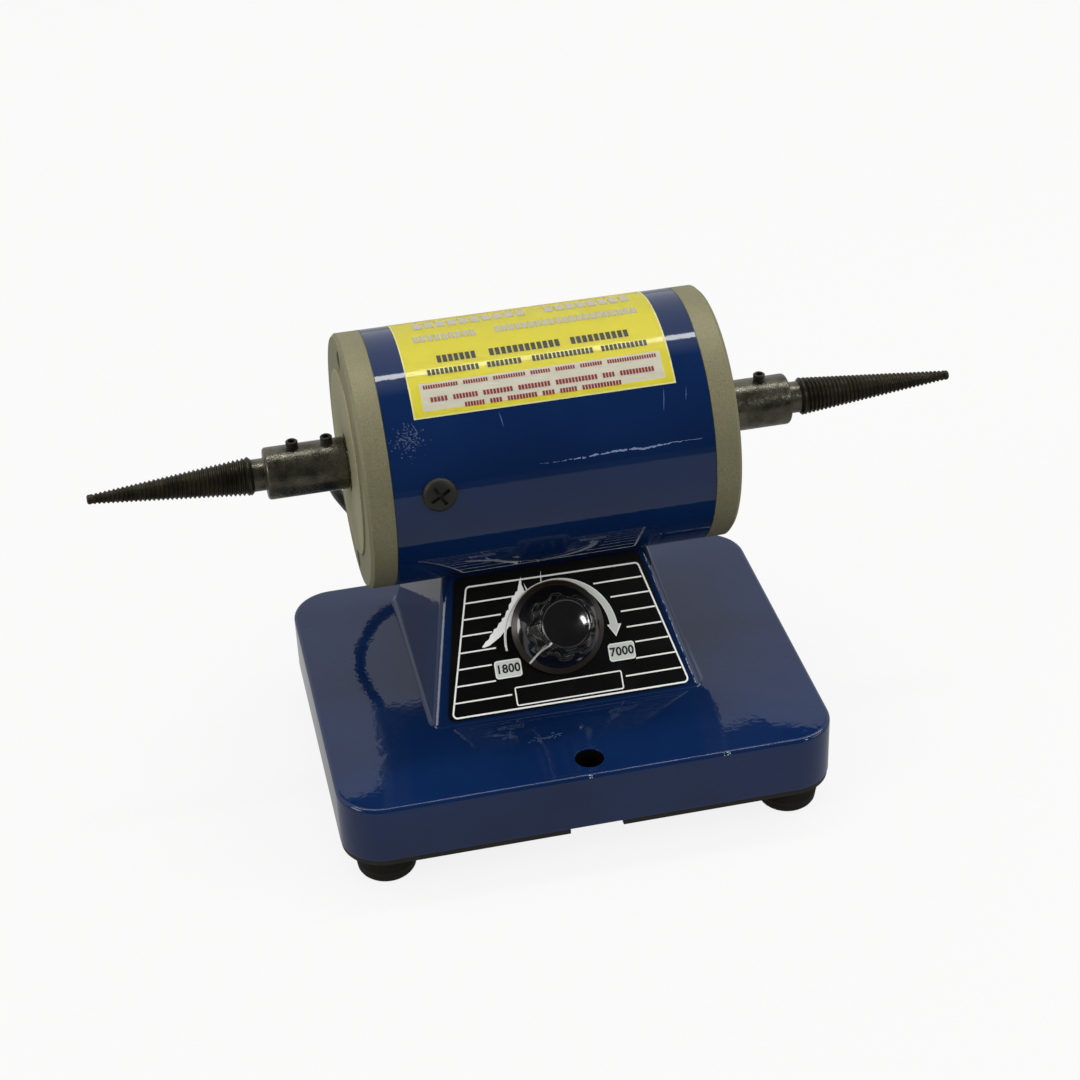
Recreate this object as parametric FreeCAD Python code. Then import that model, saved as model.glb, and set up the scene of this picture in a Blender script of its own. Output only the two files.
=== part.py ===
import FreeCAD, Part
import math
import os

# A bench polishing lathe: a variable speed motor lies in a saddle on a cast base, and turns
# a tapered spindle at each end. Sizes are in millimetres and angles in degrees.
# +X runs to the right along the spindle, +Y to the back and +Z up.
# The origin is on the bench, under the middle of the base.

Vector = FreeCAD.Vector
ALONG = Vector(1, 0, 0)
BACK = Vector(0, 1, 0)
UP = Vector(0, 0, 1)

# Base casting
BASE_WIDTH = 205.0
BASE_DEPTH = 158.0
BASE_HEIGHT = 25.5
BASE_CORNER_RADIUS = 18.0
BASE_EDGE_RADIUS = 1.8
BASE_WALL = 6.0
BASE_ROOF = 6.0
BENCH_BOLT_RADIUS = 6.0
BENCH_BOLT_BOSS_RADIUS = 10.0
BENCH_BOLT_FROM_EDGE = 11.5

# Pedestal, cast in one with the base. Front and back are measured from the spindle axis.
PEDESTAL_FRONT = 60.0
PEDESTAL_BACK = 38.7
PEDESTAL_HALF_WIDTH = 57.4
PEDESTAL_SIDE_LEAN = 16.0
PEDESTAL_BACK_LEAN = 12.0
CONTROL_FACE_SLOPE = 52.0
PEDESTAL_EDGE_RADIUS = 4.0
PEDESTAL_FOOT_RADIUS = 2.5
PEDESTAL_WALL = 5.0
SADDLE_WALL = 7.0
SADDLE_REACH = 12.0
SADDLE_GAP = 0.1

# Bottom cover and feet
COVER_THICKNESS = 2.7
COVER_INSET = 0.4
COVER_NOTCH_GAP = 1.0
FOOT_HEIGHT = 12.9
FOOT_TOP_RADIUS = 13.0
FOOT_BOTTOM_RADIUS = 12.0
FOOT_EDGE_RADIUS = 2.0
FOOT_FROM_SIDE = 17.8
FOOT_FROM_FRONT = 15.6
FOOT_BOSS_RADIUS = 6.5
FOOT_SCREW_RADIUS = 2.0
FOOT_SCREW_HEAD_RADIUS = 3.8
FOOT_SCREW_HEAD_HEIGHT = 2.4
FOOT_SCREW_GRIP = 12.0
FOOT_POCKET_DEPTH = 7.9
SCREW_CLEARANCE = 0.2

# Motor shell and end caps. The motor is clocked a few degrees in its saddle.
MOTOR_RISE = 96.6
MOTOR_SETBACK = 27.0
SHELL_RADIUS = 52.5
SHELL_WALL = 4.0
SHELL_LENGTH = 130.0
CAP_THICKNESS = 10.7
CAP_CHAMFER = 1.4
CAP_WEB = 3.4
CAP_RIM_WALL = 8.0
CAP_SPIGOT_DEPTH = 4.0
CAP_FIT = 0.05
CAP_FACE_RIM_WIDTH = 14.0
CAP_FACE_RECESS_DEPTH = 0.8
CAP_HUB_RADIUS = 19.0
CAP_HUB_LIP = 1.0
CAP_SHAFT_GAP = 1.0
CAP_RELIEF_RADIUS = 11.0
CAP_RELIEF_DEPTH = 0.6
TIE_BOLT_RADIUS = 2.0
TIE_BOLT_FROM_BORE = 3.7
TIE_BOLT_ANGLE = 85.0
TIE_BOLT_HEAD_RADIUS = 3.8
TIE_BOLT_HEAD_HEIGHT = 2.4
TIE_BOLT_HEAD_SINK = 3.4
TIE_BOLT_THREAD = 7.0
MOTOR_BOLT_RADIUS = 3.0
MOTOR_BOLT_SPACING = 56.0
MOTOR_BOLT_HEAD_FLATS = 10.0
MOTOR_BOLT_HEAD_HEIGHT = 4.0

# Field magnets
MAGNET_THICKNESS = 11.0
MAGNET_LENGTH = 66.0
MAGNET_MIDDLE = 9.0
MAGNET_SPAN = 118.0
MAGNET_GLUE = 0.1

# Bearings, shaft and armature
SHAFT_RADIUS = 6.35
SHAFT_LENGTH = 208.0
SHAFT_BODY_RADIUS = 8.0
BEARING_OUTER_RADIUS = 14.29
BEARING_WIDTH = 8.0
BEARING_FROM_FACE = 3.7
BEARING_INNER_RING_RADIUS = 9.4
BEARING_RUNNING_GAP = 0.1
WASHER_THICKNESS = 0.5
WASHER_WIDTH = 3.0
AIR_GAP = 0.8
CORE_LENGTH = 60.0
SLOT_COUNT = 12
SLOT_MOUTH = 2.6
SLOT_BOTTOM_RADIUS = 20.0
SLOT_ROOF = 2.4
SLOT_LINER = 0.15
TOOTH_WIDTH = 5.0
WINDING_OVERHANG = 12.0
WINDING_INNER_RADIUS = 12.0
WINDING_BELOW_CORE = 3.6
WINDING_EDGE_RADIUS = 4.0
COMMUTATOR_RADIUS = 17.0
COMMUTATOR_LENGTH = 18.0
COMMUTATOR_BARS = 24
COMMUTATOR_GROOVE = 0.6
COMMUTATOR_GROOVE_DEPTH = 1.0
RISER_RADIUS = 19.0
RISER_LENGTH = 2.5

# Brushes, holders and their screw caps, set along one line across the commutator
BRUSH_X = -46.9
BRUSH_ANGLE = -12.0
BRUSH_LENGTH = 14.0
BRUSH_ALONG = 8.0
BRUSH_ACROSS = 6.0
BRUSH_RUNNING_GAP = 0.1
BRUSH_WEAR_CURVE = 2.0
BRUSH_SIDE_GAP = 0.1
HOLDER_RADIUS = 6.2
HOLDER_FROM_COMMUTATOR = 2.5
HOLDER_SINK = 1.0
SPRING_RADIUS = 2.6
SPRING_WALL = 0.8
BRUSH_CAP_RADIUS = 6.85
BRUSH_CAP_HEIGHT = 3.0
BRUSH_CAP_LIP = 1.2
BRUSH_CAP_PLUG_RADIUS = 4.6
BRUSH_CAP_PLUG_LENGTH = 11.0
BRUSH_CAP_SLOT = 1.5
BRUSH_CAP_SLOT_DEPTH = 1.4
BRUSH_CAP_SLOT_REACH = 4.1
BRUSH_CAP_TURN = 30.0

# Tapered spindles
SLEEVE_RADIUS = 10.7
SLEEVE_START = 76.8
SLEEVE_END = 110.0
SLEEVE_CHAMFER = 1.3
SLEEVE_BORE_DEPTH = 28.0
NECK_RADIUS = 6.6
NECK_LENGTH = 5.0
TAPER_ROOT_RADIUS = 7.9
TAPER_TIP_RADIUS = 2.0
TAPER_LENGTH = 65.5
TAPER_LEAD_IN = 1.3
SET_SCREW_RADIUS = 2.5
SET_SCREW_PROUD = 3.0
SET_SCREW_SPACING = 14.0
SET_SCREW_FROM_END = 12.0
SET_SCREW_SLOT = 0.9

# Control plate, potentiometer and knob. Heights on the plate are measured up the slope.
PLATE_THICKNESS = 0.8
PLATE_LOW = 1.8
PLATE_SHELL_GAP = 1.77
PLATE_SIDE_TAPER = 11.65
PLATE_LOW_HALF_WIDTH = 51.2
PLATE_CORNER_RADIUS = 3.0
KNOB_HEIGHT_ON_PLATE = 33.6
POT_RADIUS = 12.0
POT_DEPTH = 11.0
POT_BUSHING_RADIUS = 4.6
POT_BUSHING_PROUD = 3.4
POT_NUT_FLATS = 11.0
POT_NUT_HEIGHT = 2.2
POT_SHAFT_RADIUS = 3.0
POT_SHAFT_PROUD = 19.0
POT_SHAFT_INSIDE = 8.0
POT_RUNNING_GAP = 0.05
POT_LUG = 3.0
POT_LUG_THICKNESS = 0.8
POT_BORE_END = 1.0
KNOB_SKIRT_RADIUS = 19.5
KNOB_SKIRT_EDGE = 1.6
KNOB_WAIST_RADIUS = 13.2
KNOB_WAIST_HEIGHT = 8.0
KNOB_CROWN_RADIUS = 11.4
KNOB_CROWN_HEIGHT = 23.9
KNOB_DOME = 1.2
KNOB_FLARE_STEPS = 4
KNOB_FLARE_POWER = 1.7
KNOB_PLATE_GAP = 0.6
KNOB_POCKET_RADIUS = 8.5
KNOB_POCKET_DEPTH = 4.0
KNOB_FLUTES = 8
KNOB_FLUTE_RADIUS = 3.4
KNOB_FLUTE_BITE = 1.5

# Rocker switch on the back of the pedestal
SWITCH_X = 24.0
SWITCH_UP = 22.0
SWITCH_WIDTH = 15.0
SWITCH_HEIGHT = 21.0
SWITCH_FLANGE = 1.6
SWITCH_FLANGE_MARGIN = 1.2
SWITCH_DEPTH = 18.0
SWITCH_WALL = 1.4
SWITCH_FIT = 0.1
ROCKER_GAP = 0.35
ROCKER_TILT = 20.0
ROCKER_RISE = 1.9
ROCKER_DROP = 4.0
ROCKER_PIVOT_RADIUS = 0.8
ROCKER_PIVOT_DEPTH = 2.5
ROCKER_PIVOT_GAP = 0.05

# Cord inlet in the back wall of the base
GLAND_X = -45.0
GLAND_NECK_RADIUS = 6.4
GLAND_FLANGE_RADIUS = 9.0
GLAND_FLANGE_THICKNESS = 3.0
GLAND_NOSE_LENGTH = 9.0
GLAND_NOSE_RADIUS = 5.6
GLAND_NOSE_TAPER = 0.8
GLAND_BORE_RADIUS = 3.7
GLAND_CLEARANCE = 0.1
GLAND_INSIDE = 3.0

# Motor lead, from the rim of the left cap into the back of the pedestal.
# Its points are measured from the spindle axis.
LEAD_RADIUS = 2.5
LEAD_ARC_SHARE = 0.45
LEAD_START_X = -68.0
LEAD_START_ANGLE = -40.3
LEAD_START_DEPTH = 9.22
LEAD_POINTS = (
    (-80.0, 62.0, -46.0),
    (-66.0, 62.0, -70.0),
    (-50.0, 52.0, -84.0),
    (-38.0, 30.0, -82.0),
)
GROMMET_WALL = 1.0
GROMMET_FLANGE = 0.8
GROMMET_FLANGE_THICKNESS = 1.2
GROMMET_SEAT_DEPTH = 1.6

# Control board on the bottom cover
BOARD_LENGTH = 84.0
BOARD_DEPTH = 52.0
BOARD_THICKNESS = 1.6
BOARD_Y = 8.0
STANDOFF_HEIGHT = 6.0
STANDOFF_RADIUS = 3.0
STANDOFF_FROM_EDGE = 5.0
BOARD_SCREW_RADIUS = 1.4
BOARD_SCREW_HEAD_RADIUS = 2.6
BOARD_SCREW_HEAD_HEIGHT = 1.6
SINK_FROM_END = 28.0
SINK_Y = 2.0
SINK_LENGTH = 36.0
SINK_DEPTH = 20.0
SINK_HEIGHT = 15.0
SINK_BASE = 3.0
SINK_FINS = 6
SINK_FIN = 1.8
CAPACITOR_FROM_END = 16.0
CAPACITOR_Y = 20.0
CAPACITOR_RADIUS = 8.0
CAPACITOR_HEIGHT = 20.0
CAPACITOR_EDGE_RADIUS = 0.8
CHOKE_FROM_END = 18.0
CHOKE_Y = -4.0
CHOKE_RING_RADIUS = 6.5
CHOKE_WIRE_RADIUS = 3.0
CHOKE_SIDES = 8
TERMINAL_FROM_END = 28.0
TERMINAL_Y = 25.0
TERMINAL_WAYS = 4
TERMINAL_PITCH = 7.5
TERMINAL_DEPTH = 9.0
TERMINAL_HEIGHT = 10.0
TERMINAL_MOUTH = 3.8
TERMINAL_SILL = 1.5
TERMINAL_SCREW_RADIUS = 2.2
TERMINAL_SCREW_DEPTH = 3.0
TERMINAL_SCREW_BACK = 1.0

# Levels and places that follow from the sizes above
COVER_Z = FOOT_HEIGHT
BASE_Z = COVER_Z + COVER_THICKNESS
DECK_Z = BASE_Z + BASE_HEIGHT
MOTOR_Z = DECK_Z + MOTOR_RISE
AXIS = Vector(0, MOTOR_SETBACK, MOTOR_Z)
CAP_FACE = SHELL_LENGTH / 2 + CAP_THICKNESS
BEARING_FACE = CAP_FACE - BEARING_FROM_FACE
SHELL_BORE_RADIUS = SHELL_RADIUS - SHELL_WALL
MAGNET_INNER_RADIUS = SHELL_BORE_RADIUS - MAGNET_GLUE - MAGNET_THICKNESS
CORE_RADIUS = MAGNET_INNER_RADIUS - AIR_GAP
WINDING_OUTER_RADIUS = CORE_RADIUS - WINDING_BELOW_CORE
CAP_RIM_INNER_RADIUS = SHELL_BORE_RADIUS - CAP_RIM_WALL
CAP_FACE_RECESS_RADIUS = SHELL_RADIUS - CAP_FACE_RIM_WIDTH
TIE_BOLT_CIRCLE_RADIUS = SHELL_BORE_RADIUS - TIE_BOLT_FROM_BORE
CORE_START = MAGNET_MIDDLE - CORE_LENGTH / 2
PANEL_SLOPE = math.radians(CONTROL_FACE_SLOPE)
PANEL_UP = Vector(0, math.cos(PANEL_SLOPE), math.sin(PANEL_SLOPE))
PANEL_OUT = Vector(0, -math.sin(PANEL_SLOPE), math.cos(PANEL_SLOPE))
PANEL_FOOT = Vector(0, MOTOR_SETBACK - PEDESTAL_FRONT, DECK_Z)
KNOB_CENTRE = PANEL_FOOT + PANEL_UP * KNOB_HEIGHT_ON_PLATE
REAR_LEAN = math.radians(PEDESTAL_BACK_LEAN)
REAR_UP = Vector(0, -math.sin(REAR_LEAN), math.cos(REAR_LEAN))
REAR_OUT = Vector(0, math.cos(REAR_LEAN), math.sin(REAR_LEAN))
REAR_FOOT = Vector(0, MOTOR_SETBACK + PEDESTAL_BACK, DECK_Z)
SWITCH_CENTRE = REAR_FOOT + ALONG * SWITCH_X + REAR_UP * SWITCH_UP
FOOT_X = BASE_WIDTH / 2 - FOOT_FROM_SIDE
FOOT_Y = BASE_DEPTH / 2 - FOOT_FROM_FRONT
BENCH_BOLT_Y = -BASE_DEPTH / 2 + BENCH_BOLT_FROM_EDGE
BOARD_Z = BASE_Z + STANDOFF_HEIGHT
BOARD_TOP = BOARD_Z + BOARD_THICKNESS
CAPACITOR_X = BOARD_LENGTH / 2 - CAPACITOR_FROM_END
CHOKE_X = BOARD_LENGTH / 2 - CHOKE_FROM_END
SINK_X = SINK_FROM_END - BOARD_LENGTH / 2
TERMINAL_X = TERMINAL_FROM_END - BOARD_LENGTH / 2


def box(low, high):
    """A box between two corners."""
    return Part.makeBox(high[0] - low[0], high[1] - low[1], high[2] - low[2], Vector(*low))


def rod(radius, start, direction, length):
    """A round bar from a point along a direction."""
    return Part.makeCylinder(radius, length, start, direction)


def upright(radius, x, y, low, high):
    """A round bar standing between two levels."""
    return rod(radius, Vector(x, y, low), UP, high - low)


def turned(profile, start=Vector(0, 0, 0), direction=UP):
    """A solid turned about an axis from (distance along the axis, radius) points."""
    points = [Vector(radius, 0, along) for along, radius in profile]
    face = Part.Face(Part.makePolygon(points + points[:1]))
    solid = face.revolve(Vector(0, 0, 0), UP, 360)
    return placed(solid, start, cross_direction(direction), direction)


def rim(level, radius, edge):
    """Profile points that round the far end of a turned piece, from its side to its end."""
    bite = edge * (1 - math.sqrt(0.5))
    return [(level - edge, radius), (level - bite, radius - bite), (level, radius - edge)]


def cross_direction(direction):
    """A direction square to another one, the X axis where that is possible."""
    if abs(direction.dot(ALONG)) > 0.9:
        return Vector(BACK)
    return Vector(ALONG)


def placed(shape, origin, x_direction, z_direction):
    """A shape drawn about the origin, set at a point with its own x and z directions."""
    y_direction = z_direction.cross(x_direction)
    turn = FreeCAD.Rotation(x_direction, y_direction, z_direction, "ZXY")
    moved = shape.copy()
    moved.Placement = FreeCAD.Placement(origin, turn).multiply(moved.Placement)
    return moved


def on_motor(profile, side=1):
    """A turned solid on the spindle axis. Distances run out from the middle to one side."""
    return turned(profile, AXIS, ALONG * side)


def on_panel(shape, right=0.0, up=0.0):
    """A shape drawn on a flat, set on the control face."""
    return placed(shape, PANEL_FOOT + ALONG * right + PANEL_UP * up, ALONG, PANEL_OUT)


def on_rear(shape):
    """A shape drawn on a flat, set on the back of the pedestal at the switch."""
    return placed(shape, SWITCH_CENTRE, ALONG * -1, REAR_OUT)


def radial(angle):
    """The direction away from the spindle axis, from straight back up through the top."""
    return Vector(0, math.cos(math.radians(angle)), math.sin(math.radians(angle)))


def on_radius(shape, x, angle):
    """A shape drawn along +Z, set on the spindle axis to point out at an angle."""
    return placed(shape, AXIS + ALONG * x, ALONG, radial(angle))


def filleted(shape, radius, chosen):
    """A shape with the chosen edges rounded."""
    return shape.makeFillet(radius, [edge for edge in shape.Edges if chosen(edge)])


def is_upright(edge):
    """True for an edge that rises along its whole length."""
    ends = [vertex.Point for vertex in edge.Vertexes]
    return len(ends) == 2 and abs(ends[0].z - ends[1].z) > 1.0


def at_level(edge, level):
    """True for an edge that lies flat at a level."""
    return abs(edge.BoundBox.ZMin - level) < 1e-4 and abs(edge.BoundBox.ZMax - level) < 1e-4


def rounded_block(half_width, half_depth, low, high, corner):
    """An upright block with rounded corners, centred on the origin."""
    block = box((-half_width, -half_depth, low), (half_width, half_depth, high))
    return filleted(block, corner, is_upright)


def hexagon(flats, low, high):
    """A six-sided prism about the Z axis."""
    reach = flats / math.sqrt(3)
    corners = [Vector(reach * math.cos(math.radians(60 * step)),
                      reach * math.sin(math.radians(60 * step)), low) for step in range(7)]
    return Part.Face(Part.makePolygon(corners)).extrude(Vector(0, 0, high - low))


def slotted(head, width, length, top, depth):
    """A head about the Z axis with a screwdriver slot cut across its top."""
    return head.cut(box((-length, -width / 2, top - depth), (length, width / 2, top + depth)))


def foot_places():
    """The four corners where feet and their bosses stand."""
    return [(x, y) for y in (-FOOT_Y, FOOT_Y) for x in (-FOOT_X, FOOT_X)]


def pedestal_block(inset, drop):
    """The leaning block under the motor, with every side moved in, from a drop below the deck."""
    front = PANEL_FOOT.y + inset / math.sin(PANEL_SLOPE)
    back = REAR_FOOT.y - inset / math.cos(REAR_LEAN)
    side_lean = math.radians(PEDESTAL_SIDE_LEAN)
    half = PEDESTAL_HALF_WIDTH - inset / math.cos(side_lean)
    top = MOTOR_RISE - SHELL_RADIUS + SADDLE_REACH
    outlines = []
    for rise in (-drop, top):
        low_y = front + rise / math.tan(PANEL_SLOPE)
        high_y = back - rise * math.tan(REAR_LEAN)
        reach = half - rise * math.tan(side_lean)
        level = DECK_Z + rise
        outlines.append([Vector(-reach, low_y, level), Vector(reach, low_y, level),
                         Vector(reach, high_y, level), Vector(-reach, high_y, level)])
    return block_between(*outlines)


def block_between(low, high):
    """A block with flat sides between two outlines of four corners each."""
    rings = [low[::-1], high]
    for step in range(4):
        after = (step + 1) % 4
        rings.append([low[step], low[after], high[after], high[step]])
    return Part.Solid(Part.Shell([Part.Face(Part.makePolygon(ring + ring[:1])) for ring in rings]))


def saddle_cylinder(radius):
    """The round space of the motor over the pedestal."""
    return rod(radius, AXIS - ALONG * BASE_WIDTH, ALONG, 2 * BASE_WIDTH)


def base_casting():
    """The hollow base with its pedestal, saddle, bosses and holes."""
    base = rounded_block(BASE_WIDTH / 2, BASE_DEPTH / 2, BASE_Z, DECK_Z, BASE_CORNER_RADIUS)
    base = filleted(base, BASE_EDGE_RADIUS, lambda edge: at_level(edge, DECK_Z))
    pedestal = filleted(pedestal_block(0.0, BASE_ROOF / 2), PEDESTAL_EDGE_RADIUS, is_upright)
    pedestal = pedestal.cut(saddle_cylinder(SHELL_RADIUS + SADDLE_GAP))
    casting = base.fuse(pedestal)
    reach = PEDESTAL_HALF_WIDTH + PEDESTAL_FOOT_RADIUS
    casting = filleted(casting, PEDESTAL_FOOT_RADIUS, lambda edge: (
        at_level(edge, DECK_Z) and abs(edge.CenterOfMass.x) < reach
        and PANEL_FOOT.y - 1.0 < edge.CenterOfMass.y < REAR_FOOT.y + 1.0))
    ceiling = DECK_Z - BASE_ROOF
    casting = casting.cut(rounded_block(BASE_WIDTH / 2 - BASE_WALL, BASE_DEPTH / 2 - BASE_WALL,
                                        BASE_Z, ceiling, BASE_CORNER_RADIUS - BASE_WALL))
    hollow = pedestal_block(PEDESTAL_WALL, BASE_ROOF)
    casting = casting.cut(hollow.cut(saddle_cylinder(SHELL_RADIUS + SADDLE_WALL)))
    bosses = [upright(FOOT_BOSS_RADIUS, x, y, BASE_Z, ceiling) for x, y in foot_places()]
    bosses.append(upright(BENCH_BOLT_BOSS_RADIUS, 0, BENCH_BOLT_Y, BASE_Z, ceiling))
    outside = rounded_block(BASE_WIDTH / 2, BASE_DEPTH / 2, BASE_Z, ceiling, BASE_CORNER_RADIUS)
    casting = casting.fuse([boss.common(outside) for boss in bosses]).removeSplitter()
    return casting.cut(casting_holes())


def casting_holes():
    """The solids cut out of the casting for what passes through or screws into it."""
    holes = [upright(FOOT_SCREW_RADIUS, x, y, BASE_Z, foot_screw_top() + 1.0)
             for x, y in foot_places()]
    holes.append(upright(BENCH_BOLT_RADIUS, 0, BENCH_BOLT_Y, BASE_Z, DECK_Z))
    holes += [upright(MOTOR_BOLT_RADIUS + SCREW_CLEARANCE, x, MOTOR_SETBACK, DECK_Z, MOTOR_Z)
              for x in motor_bolt_places()]
    bushing_hole = rod(POT_BUSHING_RADIUS + SCREW_CLEARANCE, UP * -2 * PEDESTAL_WALL, UP,
                       3 * PEDESTAL_WALL)
    holes.append(on_panel(bushing_hole, 0, KNOB_HEIGHT_ON_PLATE))
    holes.append(on_rear(switch_block(SWITCH_FIT, -2 * PEDESTAL_WALL, PEDESTAL_WALL)))
    holes.append(rod(GLAND_NECK_RADIUS + GLAND_CLEARANCE,
                     Vector(GLAND_X, BASE_DEPTH / 2 + 1, gland_level()), BACK * -1,
                     BASE_WALL + 2))
    holes.append(lead_entry_hole())
    return holes


def foot_screw_top():
    """The level of a foot screw's tip in its boss."""
    return FOOT_POCKET_DEPTH + FOOT_SCREW_GRIP + COVER_THICKNESS


def motor_bolt_places():
    """Where the two bolts rise through the saddle."""
    return (-MOTOR_BOLT_SPACING / 2, MOTOR_BOLT_SPACING / 2)


def gland_level():
    """The height of the cord inlet, half way up the open wall of the base."""
    return BASE_Z + (BASE_HEIGHT - BASE_ROOF) / 2


def bottom_cover():
    """The sheet under the casting, notched round the bench bolt's boss."""
    plate = rounded_block(BASE_WIDTH / 2 - COVER_INSET, BASE_DEPTH / 2 - COVER_INSET, COVER_Z,
                          BASE_Z, BASE_CORNER_RADIUS - COVER_INSET)
    reach = BENCH_BOLT_BOSS_RADIUS + COVER_NOTCH_GAP
    notch = upright(reach, 0, BENCH_BOLT_Y, COVER_Z, BASE_Z)
    notch = notch.fuse(box((-reach, -BASE_DEPTH / 2, COVER_Z), (reach, BENCH_BOLT_Y, BASE_Z)))
    holes = [upright(FOOT_SCREW_RADIUS + SCREW_CLEARANCE, x, y, COVER_Z, BASE_Z)
             for x, y in foot_places()]
    holes += [upright(BOARD_SCREW_RADIUS, x, y, COVER_Z, BASE_Z) for x, y in standoff_places()]
    return plate.cut([notch] + holes)


def rubber_foot(x, y):
    """A tapered rubber foot with a pocket for its screw."""
    pocket = FOOT_SCREW_HEAD_RADIUS + 2 * SCREW_CLEARANCE
    hole = FOOT_SCREW_RADIUS + SCREW_CLEARANCE
    edge = [(-along, radius) for along, radius in rim(0, FOOT_BOTTOM_RADIUS, FOOT_EDGE_RADIUS)]
    return turned([(FOOT_HEIGHT, hole), (FOOT_HEIGHT, FOOT_TOP_RADIUS)] + edge
                  + [(0, pocket), (FOOT_POCKET_DEPTH, pocket), (FOOT_POCKET_DEPTH, hole)],
                  Vector(x, y, 0))


def foot_screws():
    """The four screws that hold the feet and the cover to the casting."""
    screws = []
    for x, y in foot_places():
        head = upright(FOOT_SCREW_HEAD_RADIUS, 0, 0, FOOT_POCKET_DEPTH - FOOT_SCREW_HEAD_HEIGHT,
                       FOOT_POCKET_DEPTH)
        shank = upright(FOOT_SCREW_RADIUS, 0, 0, FOOT_POCKET_DEPTH, foot_screw_top())
        screw = head.fuse(shank)
        screw.translate(Vector(x, y, 0))
        screws.append(screw)
    return Part.makeCompound(screws)


def motor_bolts():
    """The two hexagon bolts that hold the motor down, with their heads under the saddle."""
    seat = MOTOR_Z - SHELL_RADIUS - SADDLE_WALL
    tip = MOTOR_Z - SHELL_BORE_RADIUS
    bolts = []
    for x in motor_bolt_places():
        head = hexagon(MOTOR_BOLT_HEAD_FLATS, seat - MOTOR_BOLT_HEAD_HEIGHT, seat)
        bolt = head.fuse(upright(MOTOR_BOLT_RADIUS, 0, 0, seat, tip - SADDLE_GAP))
        bolt.translate(Vector(x, MOTOR_SETBACK, 0))
        bolts.append(bolt)
    return Part.makeCompound(bolts)


def motor_shell():
    """The steel tube of the motor, with holes for the brush holders and the bolts."""
    half = SHELL_LENGTH / 2
    tube = on_motor([(-half, SHELL_BORE_RADIUS), (half, SHELL_BORE_RADIUS),
                     (half, SHELL_RADIUS), (-half, SHELL_RADIUS)])
    inside = SHELL_BORE_RADIUS - SHELL_WALL
    outside = SHELL_RADIUS + SHELL_WALL
    holes = [on_radius(rod(HOLDER_RADIUS, UP * inside, UP, outside - inside), BRUSH_X, angle)
             for angle in brush_angles()]
    holes += [upright(MOTOR_BOLT_RADIUS, x, MOTOR_SETBACK, MOTOR_Z - outside, MOTOR_Z - inside)
              for x in motor_bolt_places()]
    return tube.cut(holes)


def end_cap(side):
    """A cast end cap with its register, bearing hub, face recess and tie bolt holes."""
    face = CAP_FACE
    joint = SHELL_LENGTH / 2
    spigot = joint - CAP_SPIGOT_DEPTH
    web = face - CAP_WEB
    pocket_floor = BEARING_FACE + (WASHER_THICKNESS if side > 0 else 0.0)
    relief = pocket_floor + CAP_RELIEF_DEPTH
    hub_end = BEARING_FACE - BEARING_WIDTH - CAP_HUB_LIP
    shaft_hole = SHAFT_RADIUS + CAP_SHAFT_GAP
    register = SHELL_BORE_RADIUS - CAP_FIT
    bearing_seat = BEARING_OUTER_RADIUS
    recess = face - CAP_FACE_RECESS_DEPTH
    cap = on_motor([
        (recess, shaft_hole), (recess, CAP_FACE_RECESS_RADIUS), (face, CAP_FACE_RECESS_RADIUS),
        (face, SHELL_RADIUS - CAP_CHAMFER), (face - CAP_CHAMFER, SHELL_RADIUS),
        (joint, SHELL_RADIUS), (joint, register), (spigot, register),
        (spigot, CAP_RIM_INNER_RADIUS), (web, CAP_RIM_INNER_RADIUS), (web, CAP_HUB_RADIUS),
        (hub_end, CAP_HUB_RADIUS), (hub_end, bearing_seat), (pocket_floor, bearing_seat),
        (pocket_floor, CAP_RELIEF_RADIUS), (relief, CAP_RELIEF_RADIUS),
        (relief, shaft_hole)], side)
    if side < 0:
        holes = []
        for angle in tie_bolt_angles():
            line = AXIS + radial(angle) * TIE_BOLT_CIRCLE_RADIUS
            holes.append(rod(TIE_BOLT_RADIUS + SCREW_CLEARANCE, line - ALONG * face, ALONG,
                             face - spigot))
            holes.append(rod(TIE_BOLT_HEAD_RADIUS + 2 * SCREW_CLEARANCE, line - ALONG * face,
                             ALONG, TIE_BOLT_HEAD_SINK))
        holes.append(lead_exit_hole())
        return cap.cut(holes)
    holes = [rod(TIE_BOLT_RADIUS, AXIS + radial(angle) * TIE_BOLT_CIRCLE_RADIUS
                 + ALONG * spigot, ALONG, TIE_BOLT_THREAD + 1.0) for angle in tie_bolt_angles()]
    return cap.cut(holes)


def tie_bolt_angles():
    """The two tie bolts lie across the motor, in the gaps between the magnets."""
    return (TIE_BOLT_ANGLE, TIE_BOLT_ANGLE + 180)


def tie_bolts():
    """The two long bolts that draw the caps onto the shell."""
    seat = CAP_FACE - TIE_BOLT_HEAD_SINK
    end = SHELL_LENGTH / 2 - CAP_SPIGOT_DEPTH + TIE_BOLT_THREAD
    bolts = []
    for angle in tie_bolt_angles():
        line = AXIS + radial(angle) * TIE_BOLT_CIRCLE_RADIUS
        head = rod(TIE_BOLT_HEAD_RADIUS, Vector(0, 0, -TIE_BOLT_HEAD_HEIGHT), UP,
                   TIE_BOLT_HEAD_HEIGHT)
        head = slotted(head, SET_SCREW_SLOT, TIE_BOLT_HEAD_RADIUS, -TIE_BOLT_HEAD_HEIGHT,
                       TIE_BOLT_HEAD_HEIGHT / 2)
        bolt = head.fuse(rod(TIE_BOLT_RADIUS, Vector(0, 0, 0), UP, seat + end))
        bolts.append(placed(bolt, line - ALONG * seat, BACK, ALONG))
    return Part.makeCompound(bolts)


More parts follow.
